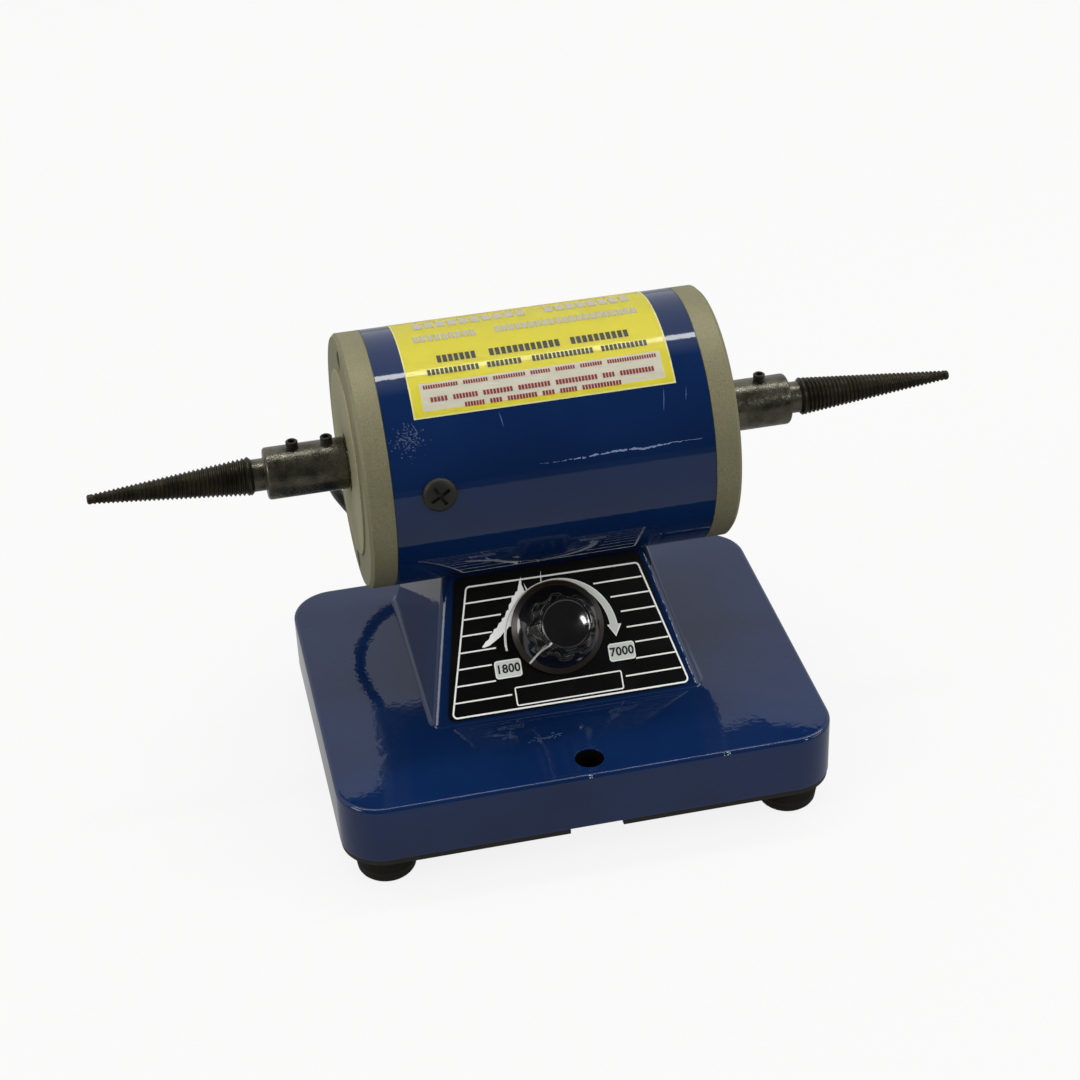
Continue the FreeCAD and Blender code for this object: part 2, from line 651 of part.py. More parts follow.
def field_magnet(angle):
    """A curved ferrite magnet bonded to the inside of the shell."""
    start = MAGNET_MIDDLE - MAGNET_LENGTH / 2
    outer = SHELL_BORE_RADIUS - MAGNET_GLUE
    ring = Part.makeCylinder(outer, MAGNET_LENGTH, Vector(0, 0, 0), UP, MAGNET_SPAN)
    ring = ring.cut(Part.makeCylinder(MAGNET_INNER_RADIUS, MAGNET_LENGTH))
    ring.rotate(Vector(0, 0, 0), UP, -MAGNET_SPAN / 2)
    return placed(ring, AXIS + ALONG * start, radial(angle), ALONG)


def bearing_outer(side):
    """The outer ring of a bearing with its shields."""
    inner = BEARING_INNER_RING_RADIUS + BEARING_RUNNING_GAP
    return on_motor([(BEARING_FACE - BEARING_WIDTH, inner), (BEARING_FACE, inner),
                     (BEARING_FACE, BEARING_OUTER_RADIUS),
                     (BEARING_FACE - BEARING_WIDTH, BEARING_OUTER_RADIUS)], side)


def bearing_inner(side):
    """The inner ring of a bearing, pressed on the shaft."""
    return on_motor([(BEARING_FACE - BEARING_WIDTH, SHAFT_RADIUS), (BEARING_FACE, SHAFT_RADIUS),
                     (BEARING_FACE, BEARING_INNER_RING_RADIUS),
                     (BEARING_FACE - BEARING_WIDTH, BEARING_INNER_RING_RADIUS)], side)


def preload_washer():
    """The thin spring washer behind the right bearing."""
    outer = BEARING_OUTER_RADIUS - CAP_FIT
    inner = BEARING_OUTER_RADIUS - WASHER_WIDTH
    return on_motor([(BEARING_FACE, inner), (BEARING_FACE + WASHER_THICKNESS, inner),
                     (BEARING_FACE + WASHER_THICKNESS, outer), (BEARING_FACE, outer)])


def motor_shaft():
    """The steel shaft through the motor, stepped down for the bearings and spindles."""
    end = SHAFT_LENGTH / 2
    shoulder = BEARING_FACE - BEARING_WIDTH
    return on_motor([(-end, 0), (-end, SHAFT_RADIUS), (-shoulder, SHAFT_RADIUS),
                     (-shoulder, SHAFT_BODY_RADIUS), (shoulder, SHAFT_BODY_RADIUS),
                     (shoulder, SHAFT_RADIUS), (end, SHAFT_RADIUS), (end, 0)])


def slot_prism(length, margin):
    """One winding slot of the core, along +Z and pointing along +X, less a margin all round."""
    pitch = math.radians(360 / SLOT_COUNT)
    low = SLOT_BOTTOM_RADIUS + margin
    high = CORE_RADIUS - SLOT_ROOF - margin
    half_low = low * math.tan(pitch / 2) - TOOTH_WIDTH / 2 - margin
    half_high = high * math.tan(pitch / 2) - TOOTH_WIDTH / 2 - margin
    outline = [Vector(low, -half_low, 0), Vector(high, -half_high, 0),
               Vector(high, half_high, 0), Vector(low, half_low, 0), Vector(low, -half_low, 0)]
    return Part.Face(Part.makePolygon(outline)).extrude(UP * length)


def around(shape, count):
    """Copies of a shape spaced evenly about the Z axis."""
    copies = []
    for step in range(count):
        turned_copy = shape.copy()
        turned_copy.rotate(Vector(0, 0, 0), UP, 360 * step / count)
        copies.append(turned_copy)
    return copies


def armature_core():
    """The laminated core with its slots."""
    core = Part.makeCylinder(CORE_RADIUS, CORE_LENGTH).cut(
        Part.makeCylinder(SHAFT_BODY_RADIUS, CORE_LENGTH))
    mouth = box((CORE_RADIUS - 2 * SLOT_ROOF, -SLOT_MOUTH / 2, 0),
                (CORE_RADIUS + 1, SLOT_MOUTH / 2, CORE_LENGTH))
    slot = slot_prism(CORE_LENGTH, 0.0).fuse(mouth)
    core = core.cut(around(slot, SLOT_COUNT))
    return placed(core, AXIS + ALONG * CORE_START, BACK, ALONG)


def winding_head(start, direction):
    """The rounded bundle of wire at one end of the core."""
    inside = [(along, 2 * WINDING_INNER_RADIUS - radius) for along, radius
              in rim(WINDING_OVERHANG, WINDING_INNER_RADIUS, WINDING_EDGE_RADIUS)]
    return turned([(0, WINDING_INNER_RADIUS)] + inside
                  + rim(WINDING_OVERHANG, WINDING_OUTER_RADIUS, WINDING_EDGE_RADIUS)[::-1]
                  + [(0, WINDING_OUTER_RADIUS)], start, direction)


def armature_windings():
    """The copper winding: a bar in every slot and a bundle at each end of the core."""
    left = AXIS + ALONG * CORE_START
    right = left + ALONG * CORE_LENGTH
    bars = [placed(bar, left, BACK, ALONG)
            for bar in around(slot_prism(CORE_LENGTH, SLOT_LINER), SLOT_COUNT)]
    heads = [winding_head(left, ALONG * -1), winding_head(right, ALONG)]
    return heads[0].fuse(heads[1:] + bars)


def commutator():
    """The copper commutator with its riser and the grooves between its bars."""
    body = Part.makeCylinder(COMMUTATOR_RADIUS, COMMUTATOR_LENGTH)
    riser = Part.makeCylinder(RISER_RADIUS, RISER_LENGTH, UP * COMMUTATOR_LENGTH)
    length = COMMUTATOR_LENGTH + RISER_LENGTH
    ring = body.fuse(riser).cut(Part.makeCylinder(SHAFT_BODY_RADIUS, length))
    groove = box((COMMUTATOR_RADIUS - COMMUTATOR_GROOVE_DEPTH, -COMMUTATOR_GROOVE / 2, 0),
                 (RISER_RADIUS + 1, COMMUTATOR_GROOVE / 2, length))
    ring = ring.cut(around(groove, COMMUTATOR_BARS))
    return placed(ring, AXIS + ALONG * (BRUSH_X - COMMUTATOR_LENGTH / 2), BACK, ALONG)


def brush_angles():
    """The back brush and the front brush."""
    return (BRUSH_ANGLE, BRUSH_ANGLE + 180)


def carbon_brush(angle):
    """A carbon block whose end is worn to the commutator's curve."""
    half_along = BRUSH_ALONG / 2
    half_across = BRUSH_ACROSS / 2
    face = COMMUTATOR_RADIUS + BRUSH_RUNNING_GAP
    block = box((-half_along, -half_across, face - BRUSH_WEAR_CURVE),
                (half_along, half_across, face + BRUSH_LENGTH))
    block = block.cut(rod(face, ALONG * -BRUSH_ALONG, ALONG, 2 * BRUSH_ALONG))
    return on_radius(block, BRUSH_X, angle)


def brush_plug_end():
    """How far from the axis the plug of a brush cap reaches in."""
    return SHELL_RADIUS - BRUSH_CAP_PLUG_LENGTH


def brush_spring(angle):
    """The coil spring between a brush and its cap, as a plain tube."""
    start = COMMUTATOR_RADIUS + BRUSH_RUNNING_GAP + BRUSH_LENGTH
    tube = turned([(start, SPRING_RADIUS - SPRING_WALL), (brush_plug_end(),
                                                         SPRING_RADIUS - SPRING_WALL),
                   (brush_plug_end(), SPRING_RADIUS), (start, SPRING_RADIUS)])
    return on_radius(tube, BRUSH_X, angle)


def brush_holder(angle):
    """The moulded holder through the shell, square inside for the brush and round for the cap."""
    start = COMMUTATOR_RADIUS + HOLDER_FROM_COMMUTATOR
    end = SHELL_RADIUS - HOLDER_SINK
    body = Part.makeCylinder(HOLDER_RADIUS, end - start, UP * start)
    half_along = BRUSH_ALONG / 2 + BRUSH_SIDE_GAP
    half_across = BRUSH_ACROSS / 2 + BRUSH_SIDE_GAP
    channel = box((-half_along, -half_across, start), (half_along, half_across, end))
    thread = Part.makeCylinder(BRUSH_CAP_PLUG_RADIUS, end - brush_plug_end(),
                               UP * brush_plug_end())
    channel = channel.common(box((-half_along, -half_across, start),
                                 (half_along, half_across, brush_plug_end())))
    return on_radius(body.cut([channel, thread]), BRUSH_X, angle)


def brush_cap(angle):
    """The screw cap over a brush, domed and cross slotted."""
    top = SHELL_RADIUS + BRUSH_CAP_HEIGHT
    cap = turned([(brush_plug_end(), 0), (brush_plug_end(), BRUSH_CAP_PLUG_RADIUS),
                  (SHELL_RADIUS, BRUSH_CAP_PLUG_RADIUS), (SHELL_RADIUS, BRUSH_CAP_RADIUS)]
                 + rim(top, BRUSH_CAP_RADIUS, BRUSH_CAP_HEIGHT - BRUSH_CAP_LIP) + [(top, 0)])
    reach = BRUSH_CAP_SLOT_REACH
    half = BRUSH_CAP_SLOT / 2
    low = top - BRUSH_CAP_SLOT_DEPTH
    cap = cap.cut([box((-reach, -half, low), (reach, half, top)),
                   box((-half, -reach, low), (half, reach, top))])
    cap.rotate(Vector(0, 0, 0), UP, BRUSH_CAP_TURN)
    return on_radius(cap, BRUSH_X, angle)


def set_screw_places():
    """How far out from the middle the set screws of a spindle stand."""
    outer = SLEEVE_END - SET_SCREW_FROM_END
    return (outer - SET_SCREW_SPACING, outer)


def tapered_spindle(side):
    """A sleeve for the shaft, a neck and a long taper, turned in one piece."""
    taper_start = SLEEVE_END + NECK_LENGTH
    taper_end = taper_start + TAPER_LEAD_IN + TAPER_LENGTH
    bore_end = SLEEVE_START + SLEEVE_BORE_DEPTH
    spindle = on_motor([
        (SLEEVE_START, SHAFT_RADIUS), (SLEEVE_START, SLEEVE_RADIUS - SLEEVE_CHAMFER / 2),
        (SLEEVE_START + SLEEVE_CHAMFER / 2, SLEEVE_RADIUS),
        (SLEEVE_END - SLEEVE_CHAMFER, SLEEVE_RADIUS),
        (SLEEVE_END, SLEEVE_RADIUS - SLEEVE_CHAMFER), (SLEEVE_END, NECK_RADIUS),
        (taper_start, NECK_RADIUS), (taper_start + TAPER_LEAD_IN, TAPER_ROOT_RADIUS),
        (taper_end - TAPER_TIP_RADIUS / 2, TAPER_TIP_RADIUS),
        (taper_end, TAPER_TIP_RADIUS / 2), (taper_end, 0), (bore_end, 0),
        (bore_end, SHAFT_RADIUS)], side)
    holes = [rod(SET_SCREW_RADIUS, AXIS + ALONG * side * x, UP, SLEEVE_RADIUS + 1)
             for x in set_screw_places()]
    return spindle.cut(holes)


def set_screws(side):
    """The two slotted set screws that grip the shaft through a sleeve."""
    top = SLEEVE_RADIUS + SET_SCREW_PROUD
    screws = []
    for x in set_screw_places():
        screw = Part.makeCylinder(SET_SCREW_RADIUS, top - SHAFT_RADIUS, UP * SHAFT_RADIUS)
        screw = slotted(screw, SET_SCREW_SLOT, SET_SCREW_RADIUS, top, SET_SCREW_PROUD / 2)
        screw.translate(AXIS + ALONG * side * x)
        screws.append(screw)
    return Part.makeCompound(screws)


def plate_high():
    """How far up the slope the control plate ends, a gap short of the motor shell."""
    start = PANEL_FOOT + PANEL_OUT * PLATE_THICKNESS - AXIS
    along = start.dot(PANEL_UP)
    clear = SHELL_RADIUS + PLATE_SHELL_GAP
    return -along - math.sqrt(along ** 2 - start.dot(start) + clear ** 2)


def plate_half_width(up):
    """Half the control plate's width at a height on the slope."""
    return PLATE_LOW_HALF_WIDTH - (up - PLATE_LOW) * math.tan(math.radians(PLATE_SIDE_TAPER))


def control_plate():
    """The thin plate on the sloping face, wider at its foot."""
    high = plate_high()
    low_half = plate_half_width(PLATE_LOW)
    high_half = plate_half_width(high)
    outline = [Vector(-low_half, PLATE_LOW, 0), Vector(low_half, PLATE_LOW, 0),
               Vector(high_half, high, 0), Vector(-high_half, high, 0),
               Vector(-low_half, PLATE_LOW, 0)]
    plate = Part.Face(Part.makePolygon(outline)).extrude(UP * PLATE_THICKNESS)
    plate = plate.makeFillet(PLATE_CORNER_RADIUS, [
        edge for edge in plate.Edges if abs(edge.BoundBox.ZLength - PLATE_THICKNESS) < 1e-4])
    hole = upright(POT_BUSHING_RADIUS + SCREW_CLEARANCE, 0, KNOB_HEIGHT_ON_PLATE, 0,
                   PLATE_THICKNESS)
    return on_panel(plate.cut(hole))


def at_knob(shape):
    """A shape drawn about +Z, set on the control face under the knob."""
    return on_panel(shape, 0, KNOB_HEIGHT_ON_PLATE)


def speed_pot():
    """The potentiometer behind the face, with its bushing and lugs."""
    back = -PEDESTAL_WALL
    body = Part.makeCylinder(POT_RADIUS, POT_DEPTH, UP * (back - POT_DEPTH))
    bushing = Part.makeCylinder(POT_BUSHING_RADIUS, PEDESTAL_WALL + POT_BUSHING_PROUD, UP * back)
    lugs = [box((step * 2 * POT_LUG - POT_LUG / 2, -POT_RADIUS - POT_LUG, back - POT_DEPTH / 2),
                (step * 2 * POT_LUG + POT_LUG / 2, -POT_RADIUS + POT_LUG,
                 back - POT_DEPTH / 2 + POT_LUG_THICKNESS)) for step in (-1, 0, 1)]
    bore_depth = POT_SHAFT_INSIDE + POT_BORE_END
    bore = Part.makeCylinder(POT_SHAFT_RADIUS + POT_RUNNING_GAP,
                             bore_depth + POT_BUSHING_PROUD + PEDESTAL_WALL,
                             UP * (back - bore_depth))
    return at_knob(body.fuse([bushing] + lugs).cut(bore))


def pot_nut():
    """The hexagon nut that clamps the potentiometer and the plate to the face."""
    nut = hexagon(POT_NUT_FLATS, PLATE_THICKNESS, PLATE_THICKNESS + POT_NUT_HEIGHT)
    return at_knob(nut.cut(Part.makeCylinder(POT_BUSHING_RADIUS, 2 * POT_NUT_HEIGHT)))


def pot_shaft():
    """The spindle of the potentiometer, which the knob sits on."""
    start = -PEDESTAL_WALL - POT_SHAFT_INSIDE
    return at_knob(Part.makeCylinder(POT_SHAFT_RADIUS, POT_SHAFT_PROUD - start, UP * start))


def speed_knob():
    """The skirted knob with a fluted grip, a rounded crown and a pocket over the nut."""
    low = PLATE_THICKNESS + KNOB_PLATE_GAP
    waist = low + KNOB_WAIST_HEIGHT
    crown = low + KNOB_CROWN_HEIGHT
    top = crown + KNOB_DOME
    skirt_top = low + KNOB_SKIRT_EDGE
    flare = []
    for step in range(1, KNOB_FLARE_STEPS):
        share = step / KNOB_FLARE_STEPS
        flare.append((skirt_top + (waist - skirt_top) * share ** KNOB_FLARE_POWER,
                      KNOB_SKIRT_RADIUS + (KNOB_WAIST_RADIUS - KNOB_SKIRT_RADIUS) * share))
    knob = turned([(low, 0), (low, KNOB_SKIRT_RADIUS), (skirt_top, KNOB_SKIRT_RADIUS)] + flare
                  + [(waist, KNOB_WAIST_RADIUS)] + rim(top, KNOB_CROWN_RADIUS, KNOB_DOME)
                  + [(top, 0)])
    flute = Part.makeCylinder(KNOB_FLUTE_RADIUS, crown - waist + 2,
                              Vector(KNOB_WAIST_RADIUS + KNOB_FLUTE_RADIUS - KNOB_FLUTE_BITE, 0,
                                     waist))
    knob = knob.cut(around(flute, KNOB_FLUTES))
    pocket = Part.makeCylinder(KNOB_POCKET_RADIUS, KNOB_POCKET_DEPTH, UP * low)
    bore = Part.makeCylinder(POT_SHAFT_RADIUS, POT_SHAFT_PROUD - low, UP * low)
    return at_knob(knob.cut([pocket, bore]))


def switch_block(margin, low, high):
    """The rectangular body of the switch between two depths, grown by a margin."""
    half_width = SWITCH_WIDTH / 2 - SWITCH_FLANGE_MARGIN + margin
    half_height = SWITCH_HEIGHT / 2 - SWITCH_FLANGE_MARGIN + margin
    return box((-half_width, -half_height, low), (half_width, half_height, high))


def switch_body():
    """The moulded frame of the rocker switch, with a well for the rocker and two pivot pins."""
    flange = box((-SWITCH_WIDTH / 2, -SWITCH_HEIGHT / 2, 0),
                 (SWITCH_WIDTH / 2, SWITCH_HEIGHT / 2, SWITCH_FLANGE))
    body = flange.fuse(switch_block(0.0, -SWITCH_DEPTH, SWITCH_FLANGE))
    well = switch_block(-SWITCH_WALL, -SWITCH_DEPTH / 2, SWITCH_FLANGE + 1)
    pins = rod(ROCKER_PIVOT_RADIUS, ALONG * -SWITCH_WIDTH / 2, ALONG, SWITCH_WIDTH)
    pins = pins.common(switch_block(-SWITCH_WALL / 2, -SWITCH_DEPTH, SWITCH_DEPTH))
    reach = rocker_half_width() - ROCKER_PIVOT_DEPTH
    between = box((-reach, -SWITCH_HEIGHT, -SWITCH_DEPTH), (reach, SWITCH_HEIGHT, SWITCH_DEPTH))
    return on_rear(body.cut(well).fuse(pins.cut(between)))


def rocker_half_width():
    """Half the width of the rocker, clear of the well on both sides."""
    return SWITCH_WIDTH / 2 - SWITCH_FLANGE_MARGIN - SWITCH_WALL - ROCKER_GAP


def switch_rocker():
    """The rocker: a drum on the pivot pins, cut by two faces that meet over the pivot."""
    half = rocker_half_width()
    drum = SWITCH_HEIGHT / 2 - SWITCH_FLANGE_MARGIN - SWITCH_WALL - ROCKER_GAP
    rise = ROCKER_RISE + 2 * drum * math.tan(math.radians(ROCKER_TILT))
    outline = [Vector(-half, -2 * drum, ROCKER_RISE), Vector(-half, 0, ROCKER_RISE),
               Vector(-half, 2 * drum, rise), Vector(-half, 2 * drum, -ROCKER_DROP),
               Vector(-half, -2 * drum, -ROCKER_DROP), Vector(-half, -2 * drum, ROCKER_RISE)]
    faces = Part.Face(Part.makePolygon(outline)).extrude(ALONG * 2 * half)
    body = rod(drum, ALONG * -half, ALONG, 2 * half).common(faces)
    socket = rod(ROCKER_PIVOT_RADIUS + ROCKER_PIVOT_GAP, ALONG * -half, ALONG, 2 * half)
    return on_rear(body.cut(socket))


def cord_gland():
    """The moulded inlet for the supply cord, with a flange and a short tapered nose."""
    neck = BASE_WALL + GLAND_INSIDE
    tip = GLAND_FLANGE_THICKNESS + GLAND_NOSE_LENGTH
    gland = turned([(-neck, GLAND_BORE_RADIUS), (tip, GLAND_BORE_RADIUS),
                    (tip, GLAND_NOSE_RADIUS - GLAND_NOSE_TAPER),
                    (GLAND_FLANGE_THICKNESS, GLAND_NOSE_RADIUS + GLAND_NOSE_TAPER),
                    (GLAND_FLANGE_THICKNESS, GLAND_FLANGE_RADIUS), (0, GLAND_FLANGE_RADIUS),
                    (0, GLAND_NECK_RADIUS), (-neck, GLAND_NECK_RADIUS)],
                   Vector(GLAND_X, BASE_DEPTH / 2, gland_level()), BACK)
    return gland


def lead_points():
    """The points of the motor lead's route."""
    start = AXIS + ALONG * LEAD_START_X \
        + radial(LEAD_START_ANGLE) * (SHELL_RADIUS - LEAD_START_DEPTH)
    return [start] + [AXIS + Vector(*point) for point in LEAD_POINTS]


def lead_route():
    """Straight runs joined by tangent arcs, each as large as its two runs allow."""
    points = lead_points()
    edges = []
    radii = []
    start = points[0]
    for before, corner, after in zip(points, points[1:], points[2:]):
        into = (corner - before).normalize()
        out = (after - corner).normalize()
        half_turn = into.getAngle(out) / 2
        shorter = min((corner - before).Length, (after - corner).Length)
        tangent = LEAD_ARC_SHARE * shorter
        radius = tangent / math.tan(half_turn)
        first = corner - into * tangent
        last = corner + out * tangent
        middle = corner + (out - into).normalize() * radius * (1 / math.cos(half_turn) - 1)
        edges.append(Part.makeLine(start, first))
        edges.append(Part.Arc(first, middle, last).toShape())
        radii.append(radius)
        start = last
    edges.append(Part.makeLine(start, points[-1]))
    return Part.Wire(edges), radii


def lead_tube(radius):
    """A round tube along the lead's route."""
    route, radii = lead_route()
    points = lead_points()
    section = Part.Wire(Part.makeCircle(radius, points[0], points[1] - points[0]))
    return route.makePipeShell([section], True, False), route, radii


def motor_lead():
    """The sleeved lead from the brush end of the motor to the control board's space."""
    tube, route, radii = lead_tube(LEAD_RADIUS)
    print("lead radii", [round(radius, 1) for radius in radii])
    wanted = math.pi * LEAD_RADIUS ** 2 * route.Length
    print("lead volume over section times length", round(tube.Volume / wanted, 4))
    return tube


def lead_run(first):
    """A point of the lead's route and the direction from it to the next point."""
    points = lead_points()
    start = points[first]
    return start, (points[first + 1] - start).normalize()


def lead_exit_seat():
    """Where the lead leaves the rim of the left cap, at the depth of the grommet's seat."""
    start, direction = lead_run(0)
    offset = start - AXIS
    square = direction.y ** 2 + direction.z ** 2
    mixed = offset.y * direction.y + offset.z * direction.z
    gap = offset.y ** 2 + offset.z ** 2 - (SHELL_RADIUS - GROMMET_SEAT_DEPTH) ** 2
    return start + direction * ((math.sqrt(mixed ** 2 - square * gap) - mixed) / square)


def lead_exit_hole():
    """The hole in the rim of the left cap for the lead's grommet, with a flat seat round it."""
    direction = lead_run(0)[1]
    seat = lead_exit_seat()
    depth = SHELL_RADIUS - CAP_RIM_INNER_RADIUS + GROMMET_SEAT_DEPTH
    hole = rod(LEAD_RADIUS + GROMMET_WALL, seat - direction * depth, direction, depth)
    flange = LEAD_RADIUS + GROMMET_WALL + GROMMET_FLANGE
    return hole.fuse(rod(flange + CAP_FIT, seat, direction, 2 * flange))


def lead_entry_seat():
    """Where the lead's last run meets the back face of the pedestal."""
    start, direction = lead_run(-2)
    return start + direction * ((REAR_FOOT - start).dot(REAR_OUT) / direction.dot(REAR_OUT))


def lead_entry_hole():
    """The hole in the back wall of the pedestal for the lead's grommet."""
    return rod(lead_entry_radius(), lead_entry_seat() + REAR_OUT * PEDESTAL_WALL,
               REAR_OUT * -1, 3 * PEDESTAL_WALL)


def lead_entry_radius():
    """The radius of the hole in the pedestal, wide enough for the lead's slant in its wall."""
    direction = lead_run(-2)[1]
    slant = math.tan(direction.getAngle(REAR_OUT * -1)) * PEDESTAL_WALL
    return LEAD_RADIUS + GROMMET_WALL + slant


def grommet(centre, direction, radius, depth):
    """A rubber bush with a flange outside, bored where the lead runs through it."""
    flange = radius + GROMMET_FLANGE
    bush = turned([(-depth, 0), (-depth, radius), (0, radius), (0, flange),
                   (GROMMET_FLANGE_THICKNESS, flange), (GROMMET_FLANGE_THICKNESS, 0)],
                  centre, direction)
    return bush.cut(lead_tube(LEAD_RADIUS)[0])


def lead_grommet_cap():
    """The grommet in the rim of the left cap."""
    depth = SHELL_RADIUS - CAP_RIM_INNER_RADIUS - GROMMET_SEAT_DEPTH
    return grommet(lead_exit_seat(), lead_run(0)[1], LEAD_RADIUS + GROMMET_WALL, depth)


def lead_grommet_pedestal():
    """The grommet in the back of the pedestal."""
    return grommet(lead_entry_seat(), REAR_OUT, lead_entry_radius(), PEDESTAL_WALL)


def standoff_places():
    """The four corners where the control board is held."""
    reach_x = BOARD_LENGTH / 2 - STANDOFF_FROM_EDGE
    reach_y = BOARD_DEPTH / 2 - STANDOFF_FROM_EDGE
    return [(x, BOARD_Y + y) for x in (-reach_x, reach_x) for y in (-reach_y, reach_y)]


def board_standoffs():
    """The four spacers under the control board."""
    return Part.makeCompound([
        upright(STANDOFF_RADIUS, x, y, BASE_Z, BOARD_Z).cut(
            upright(BOARD_SCREW_RADIUS, x, y, BASE_Z, BOARD_Z)) for x, y in standoff_places()])


def board_screws():
    """The four screws through the board and its spacers into the cover."""
    return Part.makeCompound([
        upright(BOARD_SCREW_RADIUS, x, y, COVER_Z, BOARD_TOP).fuse(
            upright(BOARD_SCREW_HEAD_RADIUS, x, y, BOARD_TOP,
                    BOARD_TOP + BOARD_SCREW_HEAD_HEIGHT)) for x, y in standoff_places()])


def control_board():
    """The circuit board of the speed control."""
    half_length = BOARD_LENGTH / 2
    half_depth = BOARD_DEPTH / 2
    board = box((-half_length, BOARD_Y - half_depth, BOARD_Z),
                (half_length, BOARD_Y + half_depth, BOARD_TOP))
    return board.cut([upright(BOARD_SCREW_RADIUS, x, y, BOARD_Z, BOARD_TOP)
                      for x, y in standoff_places()])


def heat_sink():
    """The finned aluminium block of the power transistor."""
    low = (SINK_X - SINK_LENGTH / 2, SINK_Y - SINK_DEPTH / 2)
    sink = box((low[0], low[1], BOARD_TOP),
               (low[0] + SINK_LENGTH, low[1] + SINK_DEPTH, BOARD_TOP + SINK_BASE))
    pitch = (SINK_LENGTH - SINK_FIN) / (SINK_FINS - 1)
    fins = [box((low[0] + pitch * step, low[1], BOARD_TOP),
                (low[0] + pitch * step + SINK_FIN, low[1] + SINK_DEPTH,
                 BOARD_TOP + SINK_HEIGHT)) for step in range(SINK_FINS)]
    return sink.fuse(fins).removeSplitter()


def filter_capacitor():
    """The smoothing capacitor, an upright can with a rounded rim."""
    return turned([(0, 0), (0, CAPACITOR_RADIUS)]
                  + rim(CAPACITOR_HEIGHT, CAPACITOR_RADIUS, CAPACITOR_EDGE_RADIUS)
                  + [(CAPACITOR_HEIGHT, 0)], Vector(CAPACITOR_X, CAPACITOR_Y, BOARD_TOP))


def choke_coil():
    """The ring choke that keeps brush noise off the supply."""
    reach = CHOKE_WIRE_RADIUS / math.cos(math.pi / CHOKE_SIDES)
    profile = []
    for step in range(CHOKE_SIDES):
        angle = 2 * math.pi * (step + 0.5) / CHOKE_SIDES
        profile.append((CHOKE_WIRE_RADIUS + reach * math.cos(angle),
                        CHOKE_RING_RADIUS + reach * math.sin(angle)))
    return turned(profile, Vector(CHOKE_X, CHOKE_Y, BOARD_TOP))


def terminal_block():
    """The screw terminals for the motor, supply and switch wires."""
    length = TERMINAL_WAYS * TERMINAL_PITCH
    low = Vector(TERMINAL_X - length / 2, TERMINAL_Y - TERMINAL_DEPTH / 2, BOARD_TOP)
    block = Part.makeBox(length, TERMINAL_DEPTH, TERMINAL_HEIGHT, low)
    ways = []
    for step in range(TERMINAL_WAYS):
        x = low.x + TERMINAL_PITCH * (step + 0.5)
        half = TERMINAL_MOUTH / 2
        sill = BOARD_TOP + TERMINAL_SILL
        ways.append(box((x - half, low.y, sill),
                        (x + half, low.y + TERMINAL_MOUTH, sill + TERMINAL_MOUTH)))
        ways.append(upright(TERMINAL_SCREW_RADIUS, x, TERMINAL_Y + TERMINAL_SCREW_BACK,
                            BOARD_TOP + TERMINAL_HEIGHT - TERMINAL_SCREW_DEPTH,
                            BOARD_TOP + TERMINAL_HEIGHT))
    return block.cut(ways)


def build():
    """Every sub-part under its name."""
    left, right = -1, 1
    parts = {
        "base_casting": base_casting(),
        "bottom_cover": bottom_cover(),
        "foot_screws": foot_screws(),
        "motor_bolts": motor_bolts(),
        "motor_shell": motor_shell(),
        "end_cap_left": end_cap(left),
        "end_cap_right": end_cap(right),
        "tie_bolts": tie_bolts(),
        "field_magnet_back": field_magnet(TIE_BOLT_ANGLE - 90),
        "field_magnet_front": field_magnet(TIE_BOLT_ANGLE + 90),
        "bearing_outer_left": bearing_outer(left),
        "bearing_outer_right": bearing_outer(right),
        "preload_washer": preload_washer(),
        "bearing_inner_left": bearing_inner(left),
        "bearing_inner_right": bearing_inner(right),
        "motor_shaft": motor_shaft(),
        "armature_core": armature_core(),
        "armature_windings": armature_windings(),
        "commutator": commutator(),
        "tapered_spindle_left": tapered_spindle(left),
        "tapered_spindle_right": tapered_spindle(right),
        "set_screws_left": set_screws(left),
        "set_screws_right": set_screws(right),
        "control_plate": control_plate(),
        "speed_pot": speed_pot(),
        "pot_nut": pot_nut(),
        "pot_shaft": pot_shaft(),
        "speed_knob": speed_knob(),
        "switch_body": switch_body(),
        "switch_rocker": switch_rocker(),
        "cord_gland": cord_gland(),
        "motor_lead": motor_lead(),
        "lead_grommet_cap": lead_grommet_cap(),
        "lead_grommet_pedestal": lead_grommet_pedestal(),
        "control_board": control_board(),
        "board_standoffs": board_standoffs(),
        "board_screws": board_screws(),
        "heat_sink": heat_sink(),
        "filter_capacitor": filter_capacitor(),
        "choke_coil": choke_coil(),
        "terminal_block": terminal_block(),
    }
    for corner, (x, y) in zip(("front_left", "front_right", "rear_left", "rear_right"),
                              foot_places()):
        parts["foot_" + corner] = rubber_foot(x, y)
    for end, angle in zip(("back", "front"), brush_angles()):
        parts["carbon_brush_" + end] = carbon_brush(angle)
        parts["brush_spring_" + end] = brush_spring(angle)
        parts["brush_holder_" + end] = brush_holder(angle)
        parts["brush_cap_" + end] = brush_cap(angle)
    return parts


os.makedirs("parts", exist_ok=True)
for name, shape in build().items():
    shape.exportStep("parts/" + name + ".step")
    print(name, len(shape.Solids), round(shape.Volume, 1), shape.isValid())
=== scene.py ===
import random
from math import atan2, ceil, cos, dist, hypot, pi, radians, sin, tan

import bmesh
import bpy
from mathutils import Matrix, Vector


